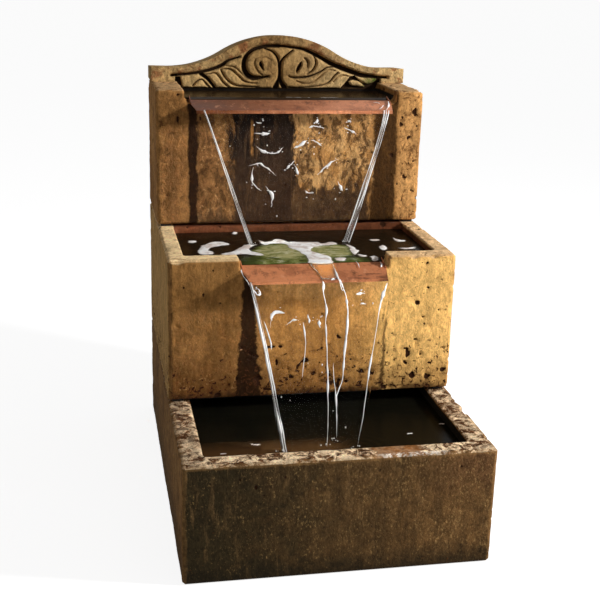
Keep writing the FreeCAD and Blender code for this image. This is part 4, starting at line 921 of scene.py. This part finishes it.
def crest_depth(across, up):
    """How far the crest's front is behind its flat face, border and plain ends included."""
    depth = np.zeros(across.shape)
    left = across < 0
    depth[left] = carving(-across[left], up[left], LEFT_GROOVES, LEFT_HOLLOWS)
    depth[~left] = carving(across[~left], up[~left], RIGHT_GROOVES, RIGHT_HOLLOWS, RIGHT_LEAFLETS)
    edge = edge_gap(across, up)
    inner = ease(edge, BORDER, BORDER + 4) * ease(np.abs(across), TONGUE + 6, TONGUE - 4)
    return depth + inner + EDGE_ROUND * ease(edge, 3.5, 0) ** 2


FRONT_ROWS = 84
TOP_STEPS = np.array([0, 0.012, 0.035, 0.1, 0.2, 0.3, 0.4, 0.5, 0.6, 0.7, 0.8, 0.9, 0.965, 0.988])
BACK_ROWS = 8
BOTTOM_ROWS = 6
FIELD_COLUMNS = 163
END_COLUMNS = 34
TOP_ROUND = 2.2
BACK_DROP = WASH + 3.5


def make_crest():
    """A ring of points at each column of the slab: up its front, over its top and down its back."""
    field, end = np.linspace(0, TONGUE, FIELD_COLUMNS), np.linspace(TONGUE, HALF_WIDTH, END_COLUMNS)
    half = np.concatenate([field, end])
    columns = np.concatenate([-half[::-1], half[1:]])
    count = len(columns)
    number = np.arange(count)
    floor = np.where((number < END_COLUMNS) | (number >= count - END_COLUMNS), CHEEK_TOP, SEAT)[:, None]
    tops = arch(columns)[:, None]
    columns = columns[:, None]
    across = np.repeat(columns, FRONT_ROWS, axis=1)
    up = floor + (tops - floor) * np.linspace(0, 1, FRONT_ROWS)
    depth = crest_depth(across.ravel(), up.ravel()).reshape(across.shape)
    spots = points_at(across, CREST_FRONT, up).reshape(-1, 3) * MM
    rough = (layered(spots, 0.03, 41, 3) + layered(spots, 0.006, 47, 2) * 0.9).reshape(across.shape)
    front = points_at(across, CREST_FRONT + depth + rough * (up > SEAT + 1), up)
    top_y = np.repeat((CREST_FRONT + (CREST_BACK - CREST_FRONT) * TOP_STEPS)[None, :], count, axis=0)
    top_y[:, 0] = np.maximum(top_y[:, 0], front[:, -1, 1])
    spots = points_at(columns, top_y, tops).reshape(-1, 3) * MM
    fall = layered(spots, 0.025, 43, 3).reshape(top_y.shape) * 1.4
    rounded = TOP_ROUND * np.exp(-TOP_STEPS / 0.02) + TOP_ROUND * np.exp(-(1 - TOP_STEPS) / 0.02)
    top = points_at(columns, top_y, tops - WASH * TOP_STEPS - fall - rounded)
    front[:, -1, 2] = top[:, 0, 2] - EDGE_ROUND
    back_top = tops - BACK_DROP
    back = points_at(columns, CREST_BACK, back_top + (floor - back_top) * np.linspace(0, 1, BACK_ROWS))
    share = np.linspace(0, 1, BOTTOM_ROWS + 2)[1:-1]
    bottom = points_at(columns, CREST_BACK + (front[:, :1, 1] - CREST_BACK) * share, floor)
    ring = np.concatenate([front, top, back, bottom], axis=1)
    around = ring.shape[1]
    faces = strip_faces(count, around, ring=True)
    last = (count - 1) * around
    faces.append(tuple(range(around)))
    faces.append(tuple(range(last + around - 1, last - 1, -1)))
    piece = add_mesh("carved_crest", ring.reshape(-1, 3) * MM, faces)
    face_outwards(piece)
    edge = edge_gap(across.ravel(), up.ravel()).reshape(across.shape)
    ends = ease(np.abs(across), TONGUE - 4, TONGUE + 4)
    marks = {
        "sunk": np.clip(depth / FIELD_DEPTH, 0, 1),
        "border": np.maximum(ease(edge, BORDER + 1, BORDER - 3), ends),
        "moss": ease(across, 190, 215) * ease(across, 246, 240) * ease(up, 876, 866),
        "edge": 0,
        "pit": 0,
    }
    for name, values in marks.items():
        layer = np.zeros((count, around))
        layer[:, :FRONT_ROWS] = values
        keep_value(piece.data, name, layer.ravel())
    stand_for(piece, "crest", cast_stone("crest_stone", *SAND, crest_stains_and_painted_light))


make_crest()


# Water: the falls leave the copper lips in a curve and draw together as they drop

LIP_SLOPE = 0.2


class Fall:
    """A falling sheet, from its lip to the water below. Places on it run -1 to 1 across and 0 to 1 down."""

    def __init__(self, name, lip, land, lip_half, land_half, drift, start):
        self.name = name
        self.lip_y, self.lip_z = lip
        self.lip_half = lip_half
        self.land_half = land_half
        self.drift = drift
        self.start = start
        self.drop = self.lip_z - land[1]
        reach = self.lip_y - land[0]
        self.bend = (self.drop - LIP_SLOPE * reach) / reach ** 2

    def spot(self, across, down):
        """Points on the sheet, in millimetres; places above the lip lie on the copper."""
        across = np.asarray(across, float)
        down = np.asarray(down, float)
        falling = np.maximum(down, 0)
        out = (np.sqrt(LIP_SLOPE ** 2 + 4 * self.bend * self.drop * falling) - LIP_SLOPE) / (2 * self.bend)
        on_lip = np.minimum(down, 0) * self.start
        x = self.drift * falling + across * (self.lip_half + (self.land_half - self.lip_half) * falling)
        y = self.lip_y - out - on_lip
        z = self.lip_z - self.drop * falling - on_lip * LIP_SLOPE
        return points_at(x, y, z)


UPPER = Fall("upper_fall", lip=(120.4, 820.0), land=(54, 535), lip_half=205, land_half=108,
             drift=0, start=86)
MIDDLE = Fall("middle_fall", lip=(-177.6, 515.5), land=(-349, 220), lip_half=142, land_half=71.5,
              drift=-24.5, start=86)


SHEET_COLUMNS = 45
SHEET_ROWS = 60


def make_sheet(fall, seed):
    """The clear sheet itself: a thin closed skin with soft ripples."""
    across, down = np.meshgrid(np.linspace(-1, 1, SHEET_COLUMNS), np.linspace(0.004, 1.01, SHEET_ROWS))
    shape = across.shape
    across, down = across.ravel(), down.ravel()
    middle = fall.spot(across, down)
    flat = points_at(across * 9, down * 3)
    middle[:, 1] -= (layered(flat, 1.0, seed, 3) - 0.5) * 5 * np.clip(down + 0.1, 0, 1)
    middle[:, 2] += 1.6
    thick = 0.7 + 0.6 * layered(flat, 0.6, seed + 4, 2)
    outwards = points_at(0.0, -thick, thick * 0.4)
    sheet = Bundle()
    sheet.add(*skinned(middle + outwards, middle - outwards, *shape))
    sheet.piece(fall.name + "_sheet", SHEET).visible_shadow = False


def tube(points, radii, flatness, sides=8):
    """A tube along the points, wide across and flatter from front to back, closed at its ends."""
    ways = np.gradient(points, axis=0)
    ways /= np.linalg.norm(ways, axis=1)[:, None] + 1e-9
    side = np.cross(ways, np.array([0.0, -1.0, 0.15]))
    side /= np.linalg.norm(side, axis=1)[:, None] + 1e-9
    front = np.cross(side, ways)
    turns = np.linspace(0, 2 * math.pi, sides, endpoint=False)
    ring = (np.cos(turns)[None, :, None] * side[:, None, :]
            + np.sin(turns)[None, :, None] * front[:, None, :] * flatness)
    spots = points[:, None, :] + ring * radii[:, None, None]
    faces = strip_faces(len(points), sides, ring=True)
    last = (len(points) - 1) * sides
    faces.append(tuple(range(sides - 1, -1, -1)))
    faces.append(tuple(range(last, last + sides)))
    return spots.reshape(-1, 3), faces


class Bundle:
    """Several small closed shapes in one mesh."""

    def __init__(self):
        self.points = []
        self.faces = []
        self.count = 0

    def add(self, points, faces):
        self.points.append(points)
        self.faces += [tuple(index + self.count for index in face) for face in faces]
        self.count += len(points)

    def piece(self, name, material):
        made = add_mesh(name, np.vstack(self.points) * MM, self.faces)
        face_outwards(made)
        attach(made, BODY)
        dress(made, material)
        return made


def travelled(spots):
    """How far along a line each of its points is."""
    return np.concatenate([[0], np.cumsum(np.linalg.norm(np.diff(spots, axis=0), axis=1))])


def strand(bundle, fall, line, radius, seed, proud=2.5, taper=0.25, flatness=0.55, crook=1.5, wave=30,
           lift=0.0):
    """A run of white water on a fall, through places given across and down it, now thick and now thin; the
    same runs also draw painted highlights and painted glints.
    """
    path = curve_through(line, 14)
    spots = fall.spot(path[:, 0], path[:, 1])
    share = np.linspace(0, 1, len(path))
    key = points_at(travelled(spots), seed * 37.0)
    thick = radius * (0.4 + 1.1 * ease(layered(key, wave, seed, 2), 0.42, 0.72))
    thick *= np.clip(np.minimum(share, 1 - share) / taper, 0.1, 1) ** 0.7
    spots[:, 0] += crook * (layered(key, wave, seed + 2, 2) - 0.5) * 2
    spots[:, 2] += crook * (layered(key, wave, seed + 4, 2) - 0.5) * 2
    spots[:, 1] -= proud
    spots[:, 2] += lift
    bundle.add(*tube(spots, thick, flatness))


STREAM_DOWN = np.linspace(0.0, 1.0, 90)


def edge_stream(bundle, fall, edge, radius, seed, count, spread, flare=0.0):
    """Thin strands side by side along one edge of a fall, which wander, part and meet again."""
    down = STREAM_DOWN
    width = spread * (0.4 + 0.6 * down)
    for number in range(count):
        spots = fall.spot(edge, down)
        key = points_at(down * fall.drop, number * 41.0, seed * 13.0)
        place = (2 * number + 1) / count - 1
        spots[:, 0] += place * (width + flare * np.exp(-down / 0.045))
        spots[:, 0] += width * 0.7 * (layered(key, 70, seed + number, 2) - 0.5)
        spots[:, 1] -= 2 + 2 * layered(key, 50, seed + number + 5, 2)
        thick = radius * (0.12 + 1.4 * ease(layered(key, 34, seed + number + 9, 2), 0.3, 0.75))
        bundle.add(*tube(spots, thick * (0.8 + 0.3 * down), 0.7))


def veil(bundle, fall, edge, spread, seed):
    """The thin half-clear band that joins the strands of one edge."""
    down = STREAM_DOWN
    spots = fall.spot(edge, down)
    spots[:, 1] -= 1.6
    key = points_at(down * fall.drop, seed * 9.0)
    wide = spread * (0.3 + 0.7 * down) * (0.7 + 0.6 * layered(key, 40, seed, 2))
    bundle.add(*tube(spots, wide, 0.1))


def glaze(bundle, fall, rows, height):
    """A thin tongue of water on a copper tray. Each row has its left, its right and its place down it."""
    left, right, down = curve_through(rows, 5).T[:, :, None]
    share = np.linspace(0, 1, 15)
    across = left + (right - left) * share
    under = fall.spot(across, down + 0 * share).reshape(-1, 3)
    under[:, 2] += 0.4
    ends = ease(np.linspace(0, 1, len(left)), 1.0, 0.5)[:, None]
    rise = height * (1 - (2 * share - 1) ** 4) * (0.15 + 0.85 * ends) + 0.2
    bundle.add(*skinned(under + points_at(0.0, 0.0, rise.ravel()), under, *across.shape))


def blob(bundle, centre, radii, seed):
    """A drop or bubble: a small uneven ball."""
    shape = bmesh.new()
    bmesh.ops.create_icosphere(shape, subdivisions=1, radius=1.0)
    points = np.array([vertex.co[:] for vertex in shape.verts])
    faces = [tuple(vertex.index for vertex in face.verts) for face in shape.faces]
    shape.free()
    points *= (0.85 + 0.3 * noise(points + seed, 0.9, seed % 17))[:, None]
    bundle.add(points * np.array(radii) + np.array(centre), faces)


def scatter(bundle, fall, line, count, seed):
    """Small beads of water round a painted highlight on a fall."""
    chance = np.random.default_rng(seed)
    path = curve_through(line, 6)
    for _ in range(count):
        across, down = path[chance.integers(len(path))]
        spot = fall.spot(across, down) + np.array([chance.normal(0, 6), -3.0, chance.normal(0, 6)])
        size = chance.uniform(0.6, 1.3)
        blob(bundle, spot, (size * chance.uniform(1, 2.2), size * 0.7, size), int(chance.integers(1, 90)))


SHEET = sheet_paint()
# White water; the same material also draws the painted highlights on the falls and the painted glints on the
# copper trays.
FOAM_AND_HIGHLIGHTS = foam_paint("white_water_and_highlights", 0.0)
VEIL = foam_paint("thin_water", 0.95)
FILM = foam_paint("lip_water", 0.96, (255, 236, 200))

# Runs of white water and painted highlights and glints, by places across and down their fall; some have
# their own radius in millimetres.
# Places less than 0 down lie on the copper tray.
# Painted highlights: white bits for the glints of light on the upper sheet.
UPPER_HIGHLIGHTS = [
    [(-.52, .158), (-.47, .160), (-.38, .165), (-.33, .163)],
    [(-.52, .260), (-.46, .294), (-.35, .312), (-.26, .303), (-.19, .265)],
    [(-.67, .405), (-.52, .389), (-.44, .427), (-.335, .476)],
    [(-.62, .419), (-.675, .522), (-.636, .566), (-.57, .588)],
    [(-.49, .558), (-.425, .629), (-.47, .717)],
    [(-.17, .429), (-.10, .395), (-.04, .365)],
    [(.125, .120), (.205, .112), (.30, .129)],
    [(.54, .125), (.615, .147), (.675, .164)],
    [(.15, .219), (.20, .223), (.28, .258)],
    [(-.06, .274), (.03, .249), (.10, .219)],
    [(-.065, .404), (-.013, .474)],
    [(.255, .475), (.36, .423), (.414, .388), (.53, .354)],
    [(.09, .597), (.144, .620), (.235, .620)],
    [(.57, .529), (.667, .601)],
    [(.216, .054), (.22, .093)],
    [(-.47, .082), (-.41, .088)],
    [(.56, .075), (.61, .083)],
]
# The first two are painted glints on the copper tray; the last is white water over the tray's right end.
UPPER_GLEAMS = [
    [(.917, -.618), (.965, -.59), (.983, -.474)],
    [(.925, -.05), (.977, -.231), (1.003, -.374)],
    [(1.10, -.75), (1.075, -.45), (1.03, -.16), (.99, .01)],
]
MIDDLE_STRANDS = [
    ([(.03, .0), (.014, .057), (.025, .099), (.038, .153), (.015, .22), (.03, .334), (.063, .511),
      (.101, .691), (.15, .98)], 1.7),
    ([(.283, -.642), (.282, -.367), (.283, .005), (.325, .046), (.353, .102), (.367, .168), (.369, .281),
      (.354, .397), (.372, .551), (.30, .633), (.25, .70)], 1.8),
    ([(.975, .015), (.881, .108), (.862, .242), (.861, .381), (.871, .522), (.916, .696), (1.0, .98)], 1.7),
    ([(-.338, .215), (-.323, .295), (-.338, .376), (-.411, .54)], 1.6),
    ([(.166, .465), (.192, .548), (.278, .693), (.40, .93)], 1.5),
    ([(-.945, .202), (-.926, .253), (-.907, .322), (-.911, .368)], 1.6),
]
MIDDLE_LEFT_EDGE = [(-1.09, -.95), (-1.085, -.4), (-1.04, .01)]
MIDDLE_BEADS = [
    ([(.034, .005), (.03, .02), (.026, .042)], 4.4),
    ([(.027, .231), (.033, .288), (.034, .346)], 3.4),
    ([(.363, .241), (.368, .293), (.369, .345)], 3.4),
    ([(.342, .081), (.356, .113), (.36, .151)], 3.0),
    ([(.286, -.03), (.296, .017), (.319, .045)], 2.2),
    ([(.967, .019), (.921, .057), (.881, .108), (.874, .141)], 4.2),
    ([(.166, -.02), (.204, -.06), (.222, -.02)], 2.4),
]
TONGUE_ROWS = [(-.05, .30, -1.0), (-.04, .297, -.75), (-.01, .293, -.5), (.015, .29, -.25),
               (.03, .285, -.02)]
FOAM_ROWS = [(-.06, .30, -1.02), (-.05, .30, -.92), (-.01, .285, -.84), (.06, .24, -.79)]
# Painted glints on the copper tray.
MIDDLE_GLEAMS = [
    [(.655, -.9), (.671, -.742), (.656, -.536)],
    [(1.017, -.868), (1.022, -.71), (.987, -.578)],
]
# Painted highlights: white bits for the glints of light on the middle sheet.
MIDDLE_HIGHLIGHTS = [
    [(-.99, .031), (-.96, .054), (-.91, .049), (-.93, .03), (-.98, .028)],
    [(-.86, .235), (-.81, .169), (-.70, .151), (-.61, .159)],
    [(-.61, .231), (-.51, .206), (-.42, .201)],
    [(.506, .066), (.57, .062), (.643, .066)],
    [(.56, .122), (.60, .118), (.647, .122)],
    [(-.25, .17), (-.245, .22)],
    [(-.08, .2), (-.07, .25)],
]


def make_falls():
    make_sheet(UPPER, 61)
    make_sheet(MIDDLE, 67)
    upper = Bundle()
    thin = Bundle()
    edge_stream(upper, UPPER, -1, radius=1.0, seed=2, count=2, spread=6.5)
    edge_stream(upper, UPPER, -1, radius=0.5, seed=9, count=1, spread=3.0)
    veil(thin, UPPER, -1, spread=4.5, seed=4)
    edge_stream(upper, UPPER, 1, radius=0.95, seed=4, count=3, spread=10.5, flare=3.0)
    edge_stream(upper, UPPER, 0.97, radius=0.5, seed=14, count=1, spread=4.0)
    veil(thin, UPPER, 1, spread=7.0, seed=6)
    # Painted highlights on the upper sheet, with beads of water round them.
    for number, line in enumerate(UPPER_HIGHLIGHTS):
        strand(upper, UPPER, line, 2.6, number, taper=0.35, flatness=0.4, crook=3.0, wave=11)
        scatter(upper, UPPER, line, 4, number)
    # Painted glints on the upper tray, and white water over its right end.
    for number, line in enumerate(UPPER_GLEAMS):
        strand(upper, UPPER, line, 2.0, number + 40, proud=0.5, taper=0.4, flatness=0.35, lift=1.0)
    upper.piece("upper_fall_strands_and_highlights", FOAM_AND_HIGHLIGHTS)
    middle = Bundle()
    edge_stream(middle, MIDDLE, -1.03, radius=1.9, seed=7, count=1, spread=3.0)
    edge_stream(middle, MIDDLE, -1.0, radius=1.1, seed=17, count=2, spread=5.0)
    veil(thin, MIDDLE, -1.02, spread=5.0, seed=8)
    strand(middle, MIDDLE, MIDDLE_LEFT_EDGE, 1.2, 51, proud=1.5, taper=0.1, crook=0.3)
    for number, (line, radius) in enumerate(MIDDLE_STRANDS + MIDDLE_BEADS):
        strand(middle, MIDDLE, line, radius, number + 11, taper=0.12 if radius < 2 else 0.45)
    # Painted highlights on the middle sheet, with beads of water round them.
    for number, line in enumerate(MIDDLE_HIGHLIGHTS):
        strand(middle, MIDDLE, line, 2.4, number + 21, taper=0.4, flatness=0.4, crook=2.5, wave=11)
        scatter(middle, MIDDLE, line, 3, number + 50)
    # Painted glints on the middle tray.
    for number, line in enumerate(MIDDLE_GLEAMS):
        strand(middle, MIDDLE, line, 2.6, number + 61, proud=0.5, taper=0.45, flatness=0.35, lift=1.0)
    glaze(middle, MIDDLE, FOAM_ROWS, 2.0)
    middle.piece("middle_fall_strands_and_highlights", FOAM_AND_HIGHLIGHTS)
    film = Bundle()
    glaze(film, MIDDLE, TONGUE_ROWS, 1.2)
    film.piece("lip_film", FILM)
    thin.piece("fall_edge_veils", VEIL)


make_falls()


# Pools: thin closed slabs at water level, with ripples where the falls land

SLAB = 6.0
LIP_RUN_OFF = LIP_SLOPE + 0.08


class Pool:
    """Still water over a rectangle; past the line given as its bend it runs down a copper lip."""

    def __init__(self, name, level, low, high, cell, bend=None):
        self.name = name
        self.level = level
        spans = zip(low, high)
        across, along = (np.linspace(start, end, int((end - start) / cell) + 1) for start, end in spans)
        self.shape = (len(along), len(across))
        self.x, self.y = (places.ravel() for places in np.meshgrid(across, along))
        spots = points_at(self.x, self.y)
        self.rise = (layered(spots * np.array([0.6, 1, 1]), 34, 75, 3) - 0.5) * 0.8
        self.thick = np.full(self.x.size, SLAB)
        if bend is not None:
            past = np.maximum(bend - self.y, 0)
            self.rise -= LIP_RUN_OFF * past
            self.thick = np.maximum(SLAB - 0.4 * past, 1.0)
        self.layers = {layer: np.zeros(self.x.size) for layer in (*POOL_LAYERS, "swell")}
        self.warped_x = self.x + (layered(spots, 15, 71, 4) - 0.5) * 8
        self.warped_y = self.y + (layered(spots, 15, 73, 4) - 0.5) * 11

    def ripples(self, x, y, height, wave, reach):
        gap = np.hypot(self.x - x, (self.y - y) * 1.1)
        self.rise += height * np.cos(gap / wave * 2 * math.pi) * np.exp(-gap / reach)

    def stroke(self, layer, line, width):
        gap = line_distance(self.warped_x, self.warped_y, curve_through(line))
        self.layers[layer] = np.maximum(self.layers[layer], ease(gap, width, width * 0.3))

    def patch(self, layer, outline, soft, most=1.0):
        depth = depth_inside(self.warped_x, self.warped_y, curve_through(outline + outline[:1], 4))
        self.layers[layer] = np.maximum(self.layers[layer], most * ease(depth, -soft, soft))

    def piece(self):
        top = points_at(self.x, self.y, self.level + self.rise + self.layers["swell"])
        slab = Bundle()
        slab.add(*skinned(top, top - points_at(0.0, 0.0, self.thick), *self.shape))
        made = slab.piece(self.name, WATER)
        for layer in POOL_LAYERS:
            values = self.layers[layer]
            keep_value(made.data, layer, np.concatenate([values, values * 0]))


WATER = pool_paint()

# Outlines and lines on the pools, in millimetres across and along.
MIDDLE_FOAM = [
    [(-215, 49), (-188, 78), (-169, 75), (-156, 52), (-180, 39), (-199, 29), (-208, 6), (-198, -10),
     (-202, -28), (-225, -26), (-231, -9), (-224, 24)],
    [(-183, -25), (-156, -10), (-135, 23), (-123, 44), (-96, 47), (-108, 31), (-120, 11), (-113, -14),
     (-94, -44), (-111, -46), (-139, -33), (-162, -41), (-182, -34)],
    [(-85, 85), (-77, 67), (-62, 72), (-46, 89), (-28, 80), (-24, 64), (2, 63), (41, 56), (52, 41),
     (76, 53), (82, 33), (56, 27), (34, 22), (18, -1), (16, -26), (30, -46), (42, -66), (45, -92),
     (40, -129), (-8, -129), (-8, -97), (-6, -55), (-13, -35), (-13, -18), (-29, 14), (-33, 45),
     (-47, 50), (-62, 51), (-78, 42), (-85, 55)],
    [(104, 33), (112, 15), (115, -16), (115, -33), (101, -59), (98, -38), (103, -2)],
    [(165, 68), (179, 69), (187, 60), (171, 57)],
    [(224, 84), (229, 65), (245, 53), (238, 46), (222, 53)],
    [(173, 6), (183, 16), (186, -12), (175, -27), (169, -16)],
    [(211, -12), (234, -10), (254, -5), (246, -20), (221, -21)],
    [(129, -81), (140, -75), (145, -95), (132, -102)],
    [(53, -79), (73, -84), (68, -96), (52, -93)],
    [(107, -56), (124, -67), (118, -80), (107, -72)],
    [(-133, 168), (-123, 159), (-131, 144), (-135, 152)],
    [(-241, 90), (-228, 90), (-228, 76), (-240, 75)],
]
# Green water: an outline, how soft its edge is, and how pale it is from 0 to 1.
MIDDLE_GREEN = [
    ([(-116, -15), (-90, 34), (-63, 47), (-30, 48), (-2, 22), (8, -20), (0, -58), (-40, -76), (-80, -70),
      (-110, -50)], 18, 1.0),
    ([(-104, -54), (-60, -60), (0, -50), (22, -80), (22, -130), (-112, -130)], 16, 0.62),
    ([(4, -12), (30, 24), (72, 33), (102, 18), (104, -25), (92, -62), (56, -78), (18, -60)], 18, 0.9),
    ([(18, -64), (60, -74), (96, -64), (112, -92), (96, -130), (18, -130)], 18, 0.4),
]
MIDDLE_DARK_GREEN = [
    [(-145, -52), (-120, -48), (-97, -60), (-90, -130), (-154, -130)],
    [(45, -92), (56, -74), (87, -67), (133, -104), (157, -112), (157, -130), (38, -130)],
]
# Painted glints on the lower pool, drawn in its white.
LOWER_SPARKS = [[(-155, -307), (-142, -309)], [(-218, -342), (-212, -342)], [(246, -259), (256, -261)],
                [(167, -298), (176, -299)]]
LOWER_LANDINGS = [(-102, -346), (-8, -330), (17, -309), (49, -347)]
# Painted glints: a pale line of light along the upper pool's edge at the lip.
UPPER_GLINTS = [[(-210, 211), (-150, 212), (-105, 211)], [(-68, 212), (-30, 211)], [(-6, 212), (44, 211)],
                [(76, 211), (112, 212)]]
MIDDLE_LEVEL = 535.0
LOWER_LEVEL = 220.0
MIDDLE_LANDINGS = [(-108, 54), (108, 54)]


def make_pools():
    for pool in (Pool("upper_pool", 837.0, (-246, 207), (246, 344), cell=4),
                 Pool("upper_lip_water", 837.2, (-228, 194), (228, 210), cell=2, bend=208)):
        # Painted glints along the lip, drawn in the white of the upper pools.
        for line in UPPER_GLINTS:
            pool.stroke("foam_and_glints", line, 4.5)
            pool.layers["foam_and_glints"] *= 0.75
        pool.layers["tint"] += 0.17
        pool.piece()
    for pool in (Pool("middle_pool", MIDDLE_LEVEL, (-269.5, -92), (269.5, 170), cell=2.2),
                 Pool("middle_lip_water", 534.4, (-151, -101), (151, -88), cell=2, bend=-88)):
        pool.layers["tint"] += 0.1
        for x, y in MIDDLE_LANDINGS:
            pool.ripples(x, y, height=0.5, wave=22, reach=34)
        for outline in MIDDLE_FOAM:
            pool.patch("foam_and_glints", outline, 4)
            pool.patch("swell", outline, 7, 1.4)
        for outline, soft, most in MIDDLE_GREEN:
            pool.patch("green", outline, soft, most)
        for outline in MIDDLE_DARK_GREEN:
            pool.patch("murk", outline, 22, 0.8)
        pool.piece()
    lower = Pool("lower_pool", LOWER_LEVEL, (-262.5, -400), (262.5, -60), cell=3)
    for x, y in LOWER_LANDINGS:
        lower.ripples(x, y, height=0.9, wave=20, reach=35)
    # Painted glints on the lower pool.
    for line in LOWER_SPARKS:
        lower.stroke("foam_and_glints", line, 3)
    # Painted reflection: the stone's brown reflection at the front left of the lower pool, painted as tint.
    front = ease(lower.warped_y, -275, -350)
    lower.layers["tint"] = 0.5 * front * ease(3 * lower.warped_x - 2 * lower.x, 80, -40)
    lower.piece()


def make_drops():
    """Beads of water where the falls land, and some on the falls."""
    drops = Bundle()
    chance = np.random.default_rng(12)
    middle = [(*spot, MIDDLE_LEVEL) for spot in (*MIDDLE_LANDINGS, (-20, 54))]
    lower = [(*spot, LOWER_LEVEL) for spot in LOWER_LANDINGS]
    for (x, y, level), _ in itertools.product(middle + lower, range(5)):
        size = chance.uniform(0.8, 1.6)
        away = chance.normal(0, 6, 2)
        centre = (x + away[0], y + away[1] * 0.7, level + chance.uniform(-0.5, 2.0))
        blob(drops, centre, (size, size, size * 0.8), int(chance.integers(1, 90)))
    for _ in range(16):
        fall = UPPER if chance.uniform() < 0.5 else MIDDLE
        spot = fall.spot(chance.uniform(-0.95, 0.95), chance.uniform(0.1, 0.95))
        size = chance.uniform(0.7, 1.5)
        blob(drops, spot + np.array([0, -4, 0]), (size, size, size * 1.7), int(chance.integers(1, 90)))
    drops.piece("water_drops", FOAM_AND_HIGHLIGHTS)


make_pools()
make_drops()


# The CAD nodes that stay get their own finishes: screen colour, roughness, size of the grain, metal

FINISHES = {
    "setting_pad": ((34, 31, 28), 0.85, 0.002),
    "stainless": ((176, 176, 174), 0.35, 0.0004, 1.0),
    "pump_plastic": ((38, 40, 43), 0.5),
    "regulator_plastic": ((70, 112, 158), 0.45),
    "impeller_plastic": ((196, 196, 188), 0.45),
    "ferrite": ((58, 58, 60), 0.6, 0.0008),
    "shaft_ceramic": ((226, 226, 220), 0.15),
    "rubber": ((32, 32, 32), 0.75, 0.0009),
    "fitting_plastic": ((48, 48, 48), 0.5),
    "hose": ((44, 48, 44), 0.35, 0.0012),
}
materials = {slot: moulded(slot, *finish) for slot, finish in FINISHES.items()}
materials["copper"] = copper_paint()
for part in frame["record"]["subparts"]:
    if part["material_slot"] in materials:
        dress(NODES[part["node"]], materials[part["material_slot"]])


# Floor, light and camera

FLOOR_REACH = 60.0
FLOOR_LEVEL = -0.0008


def by_ray(nodes, out, plain, seen):
    """One shader for camera, glossy and transmission rays, and a plain one for the others."""
    path = nodes.add("LightPath")
    share = path.outputs["Is Camera Ray"]
    for name in ("Is Glossy Ray", "Is Transmission Ray"):
        share = nodes.add("Math", {0: share, 1: path.outputs[name]}, operation="MAXIMUM").outputs[0]
    mix = nodes.add("MixShader", {0: share, 1: plain.outputs[0], 2: seen.outputs[0]})
    nodes.add(out, {"Surface": mix.outputs[0]})


def make_floor():
    corners = [(x * FLOOR_REACH, y * FLOOR_REACH, 0) for x, y in ((-1, -1), (1, -1), (1, 1), (-1, 1))]
    floor = add_mesh("floor", corners, [(0, 1, 2, 3)], smooth=False)
    floor.location.z = FLOOR_LEVEL
    material = bpy.data.materials.new("pale_floor")
    nodes = Nodes(material, clear=True)
    plain = nodes.add("BsdfDiffuse", {"Color": [0.86, 0.85, 0.83, 1]})
    shadowed = nodes.add("BsdfDiffuse", {"Color": [0.42, 0.42, 0.42, 1]})
    glow = nodes.add("Emission", {"Strength": 0.86})
    both = nodes.add("AddShader", {0: shadowed.outputs[0], 1: glow.outputs[0]})
    by_ray(nodes, "OutputMaterial", plain, both)
    dress(floor, material)


def make_world():
    world = bpy.data.worlds.new("studio")
    bpy.context.scene.world = world
    nodes = Nodes(world, clear=True)
    fill = nodes.add("Background", {"Color": [1, 1, 1, 1], "Strength": 0.24})
    white = nodes.add("Background", {"Color": [1, 1, 1, 1], "Strength": 1.0})
    by_ray(nodes, "OutputWorld", fill, white)


def make_lamp(name, spot, target, size, power):
    light = bpy.data.lights.new(name, "AREA")
    light.shape = "DISK"
    light.size = size
    light.energy = power
    lamp = bpy.data.objects.new(name, light)
    lamp.location = spot
    lamp.rotation_euler = (Vector(target) - Vector(spot)).to_track_quat("-Z", "Y").to_euler()
    bpy.context.scene.collection.objects.link(lamp)


def make_camera():
    data = bpy.data.cameras.new("camera")
    data.lens = 65.62
    data.sensor_width = 36
    data.clip_end = 200
    camera = bpy.data.objects.new("camera", data)
    right = (0.98166, -0.18884, 0.02605)
    up = (0.03104, 0.29314, 0.95557)
    back = (-0.18809, -0.93723, 0.29362)
    spot = (-0.459, -2.2643, 1.1282)
    camera.matrix_world = Matrix([(right[i], up[i], back[i], spot[i]) for i in range(3)] + [(0, 0, 0, 1)])
    bpy.context.scene.collection.objects.link(camera)
    bpy.context.scene.camera = camera


make_floor()
make_world()
make_lamp("key", spot=(2.3, -1.05, 1.7), target=(0, -0.05, 0.45), size=0.3, power=92)
make_camera()
bpy.context.scene.view_settings.view_transform = "Standard"
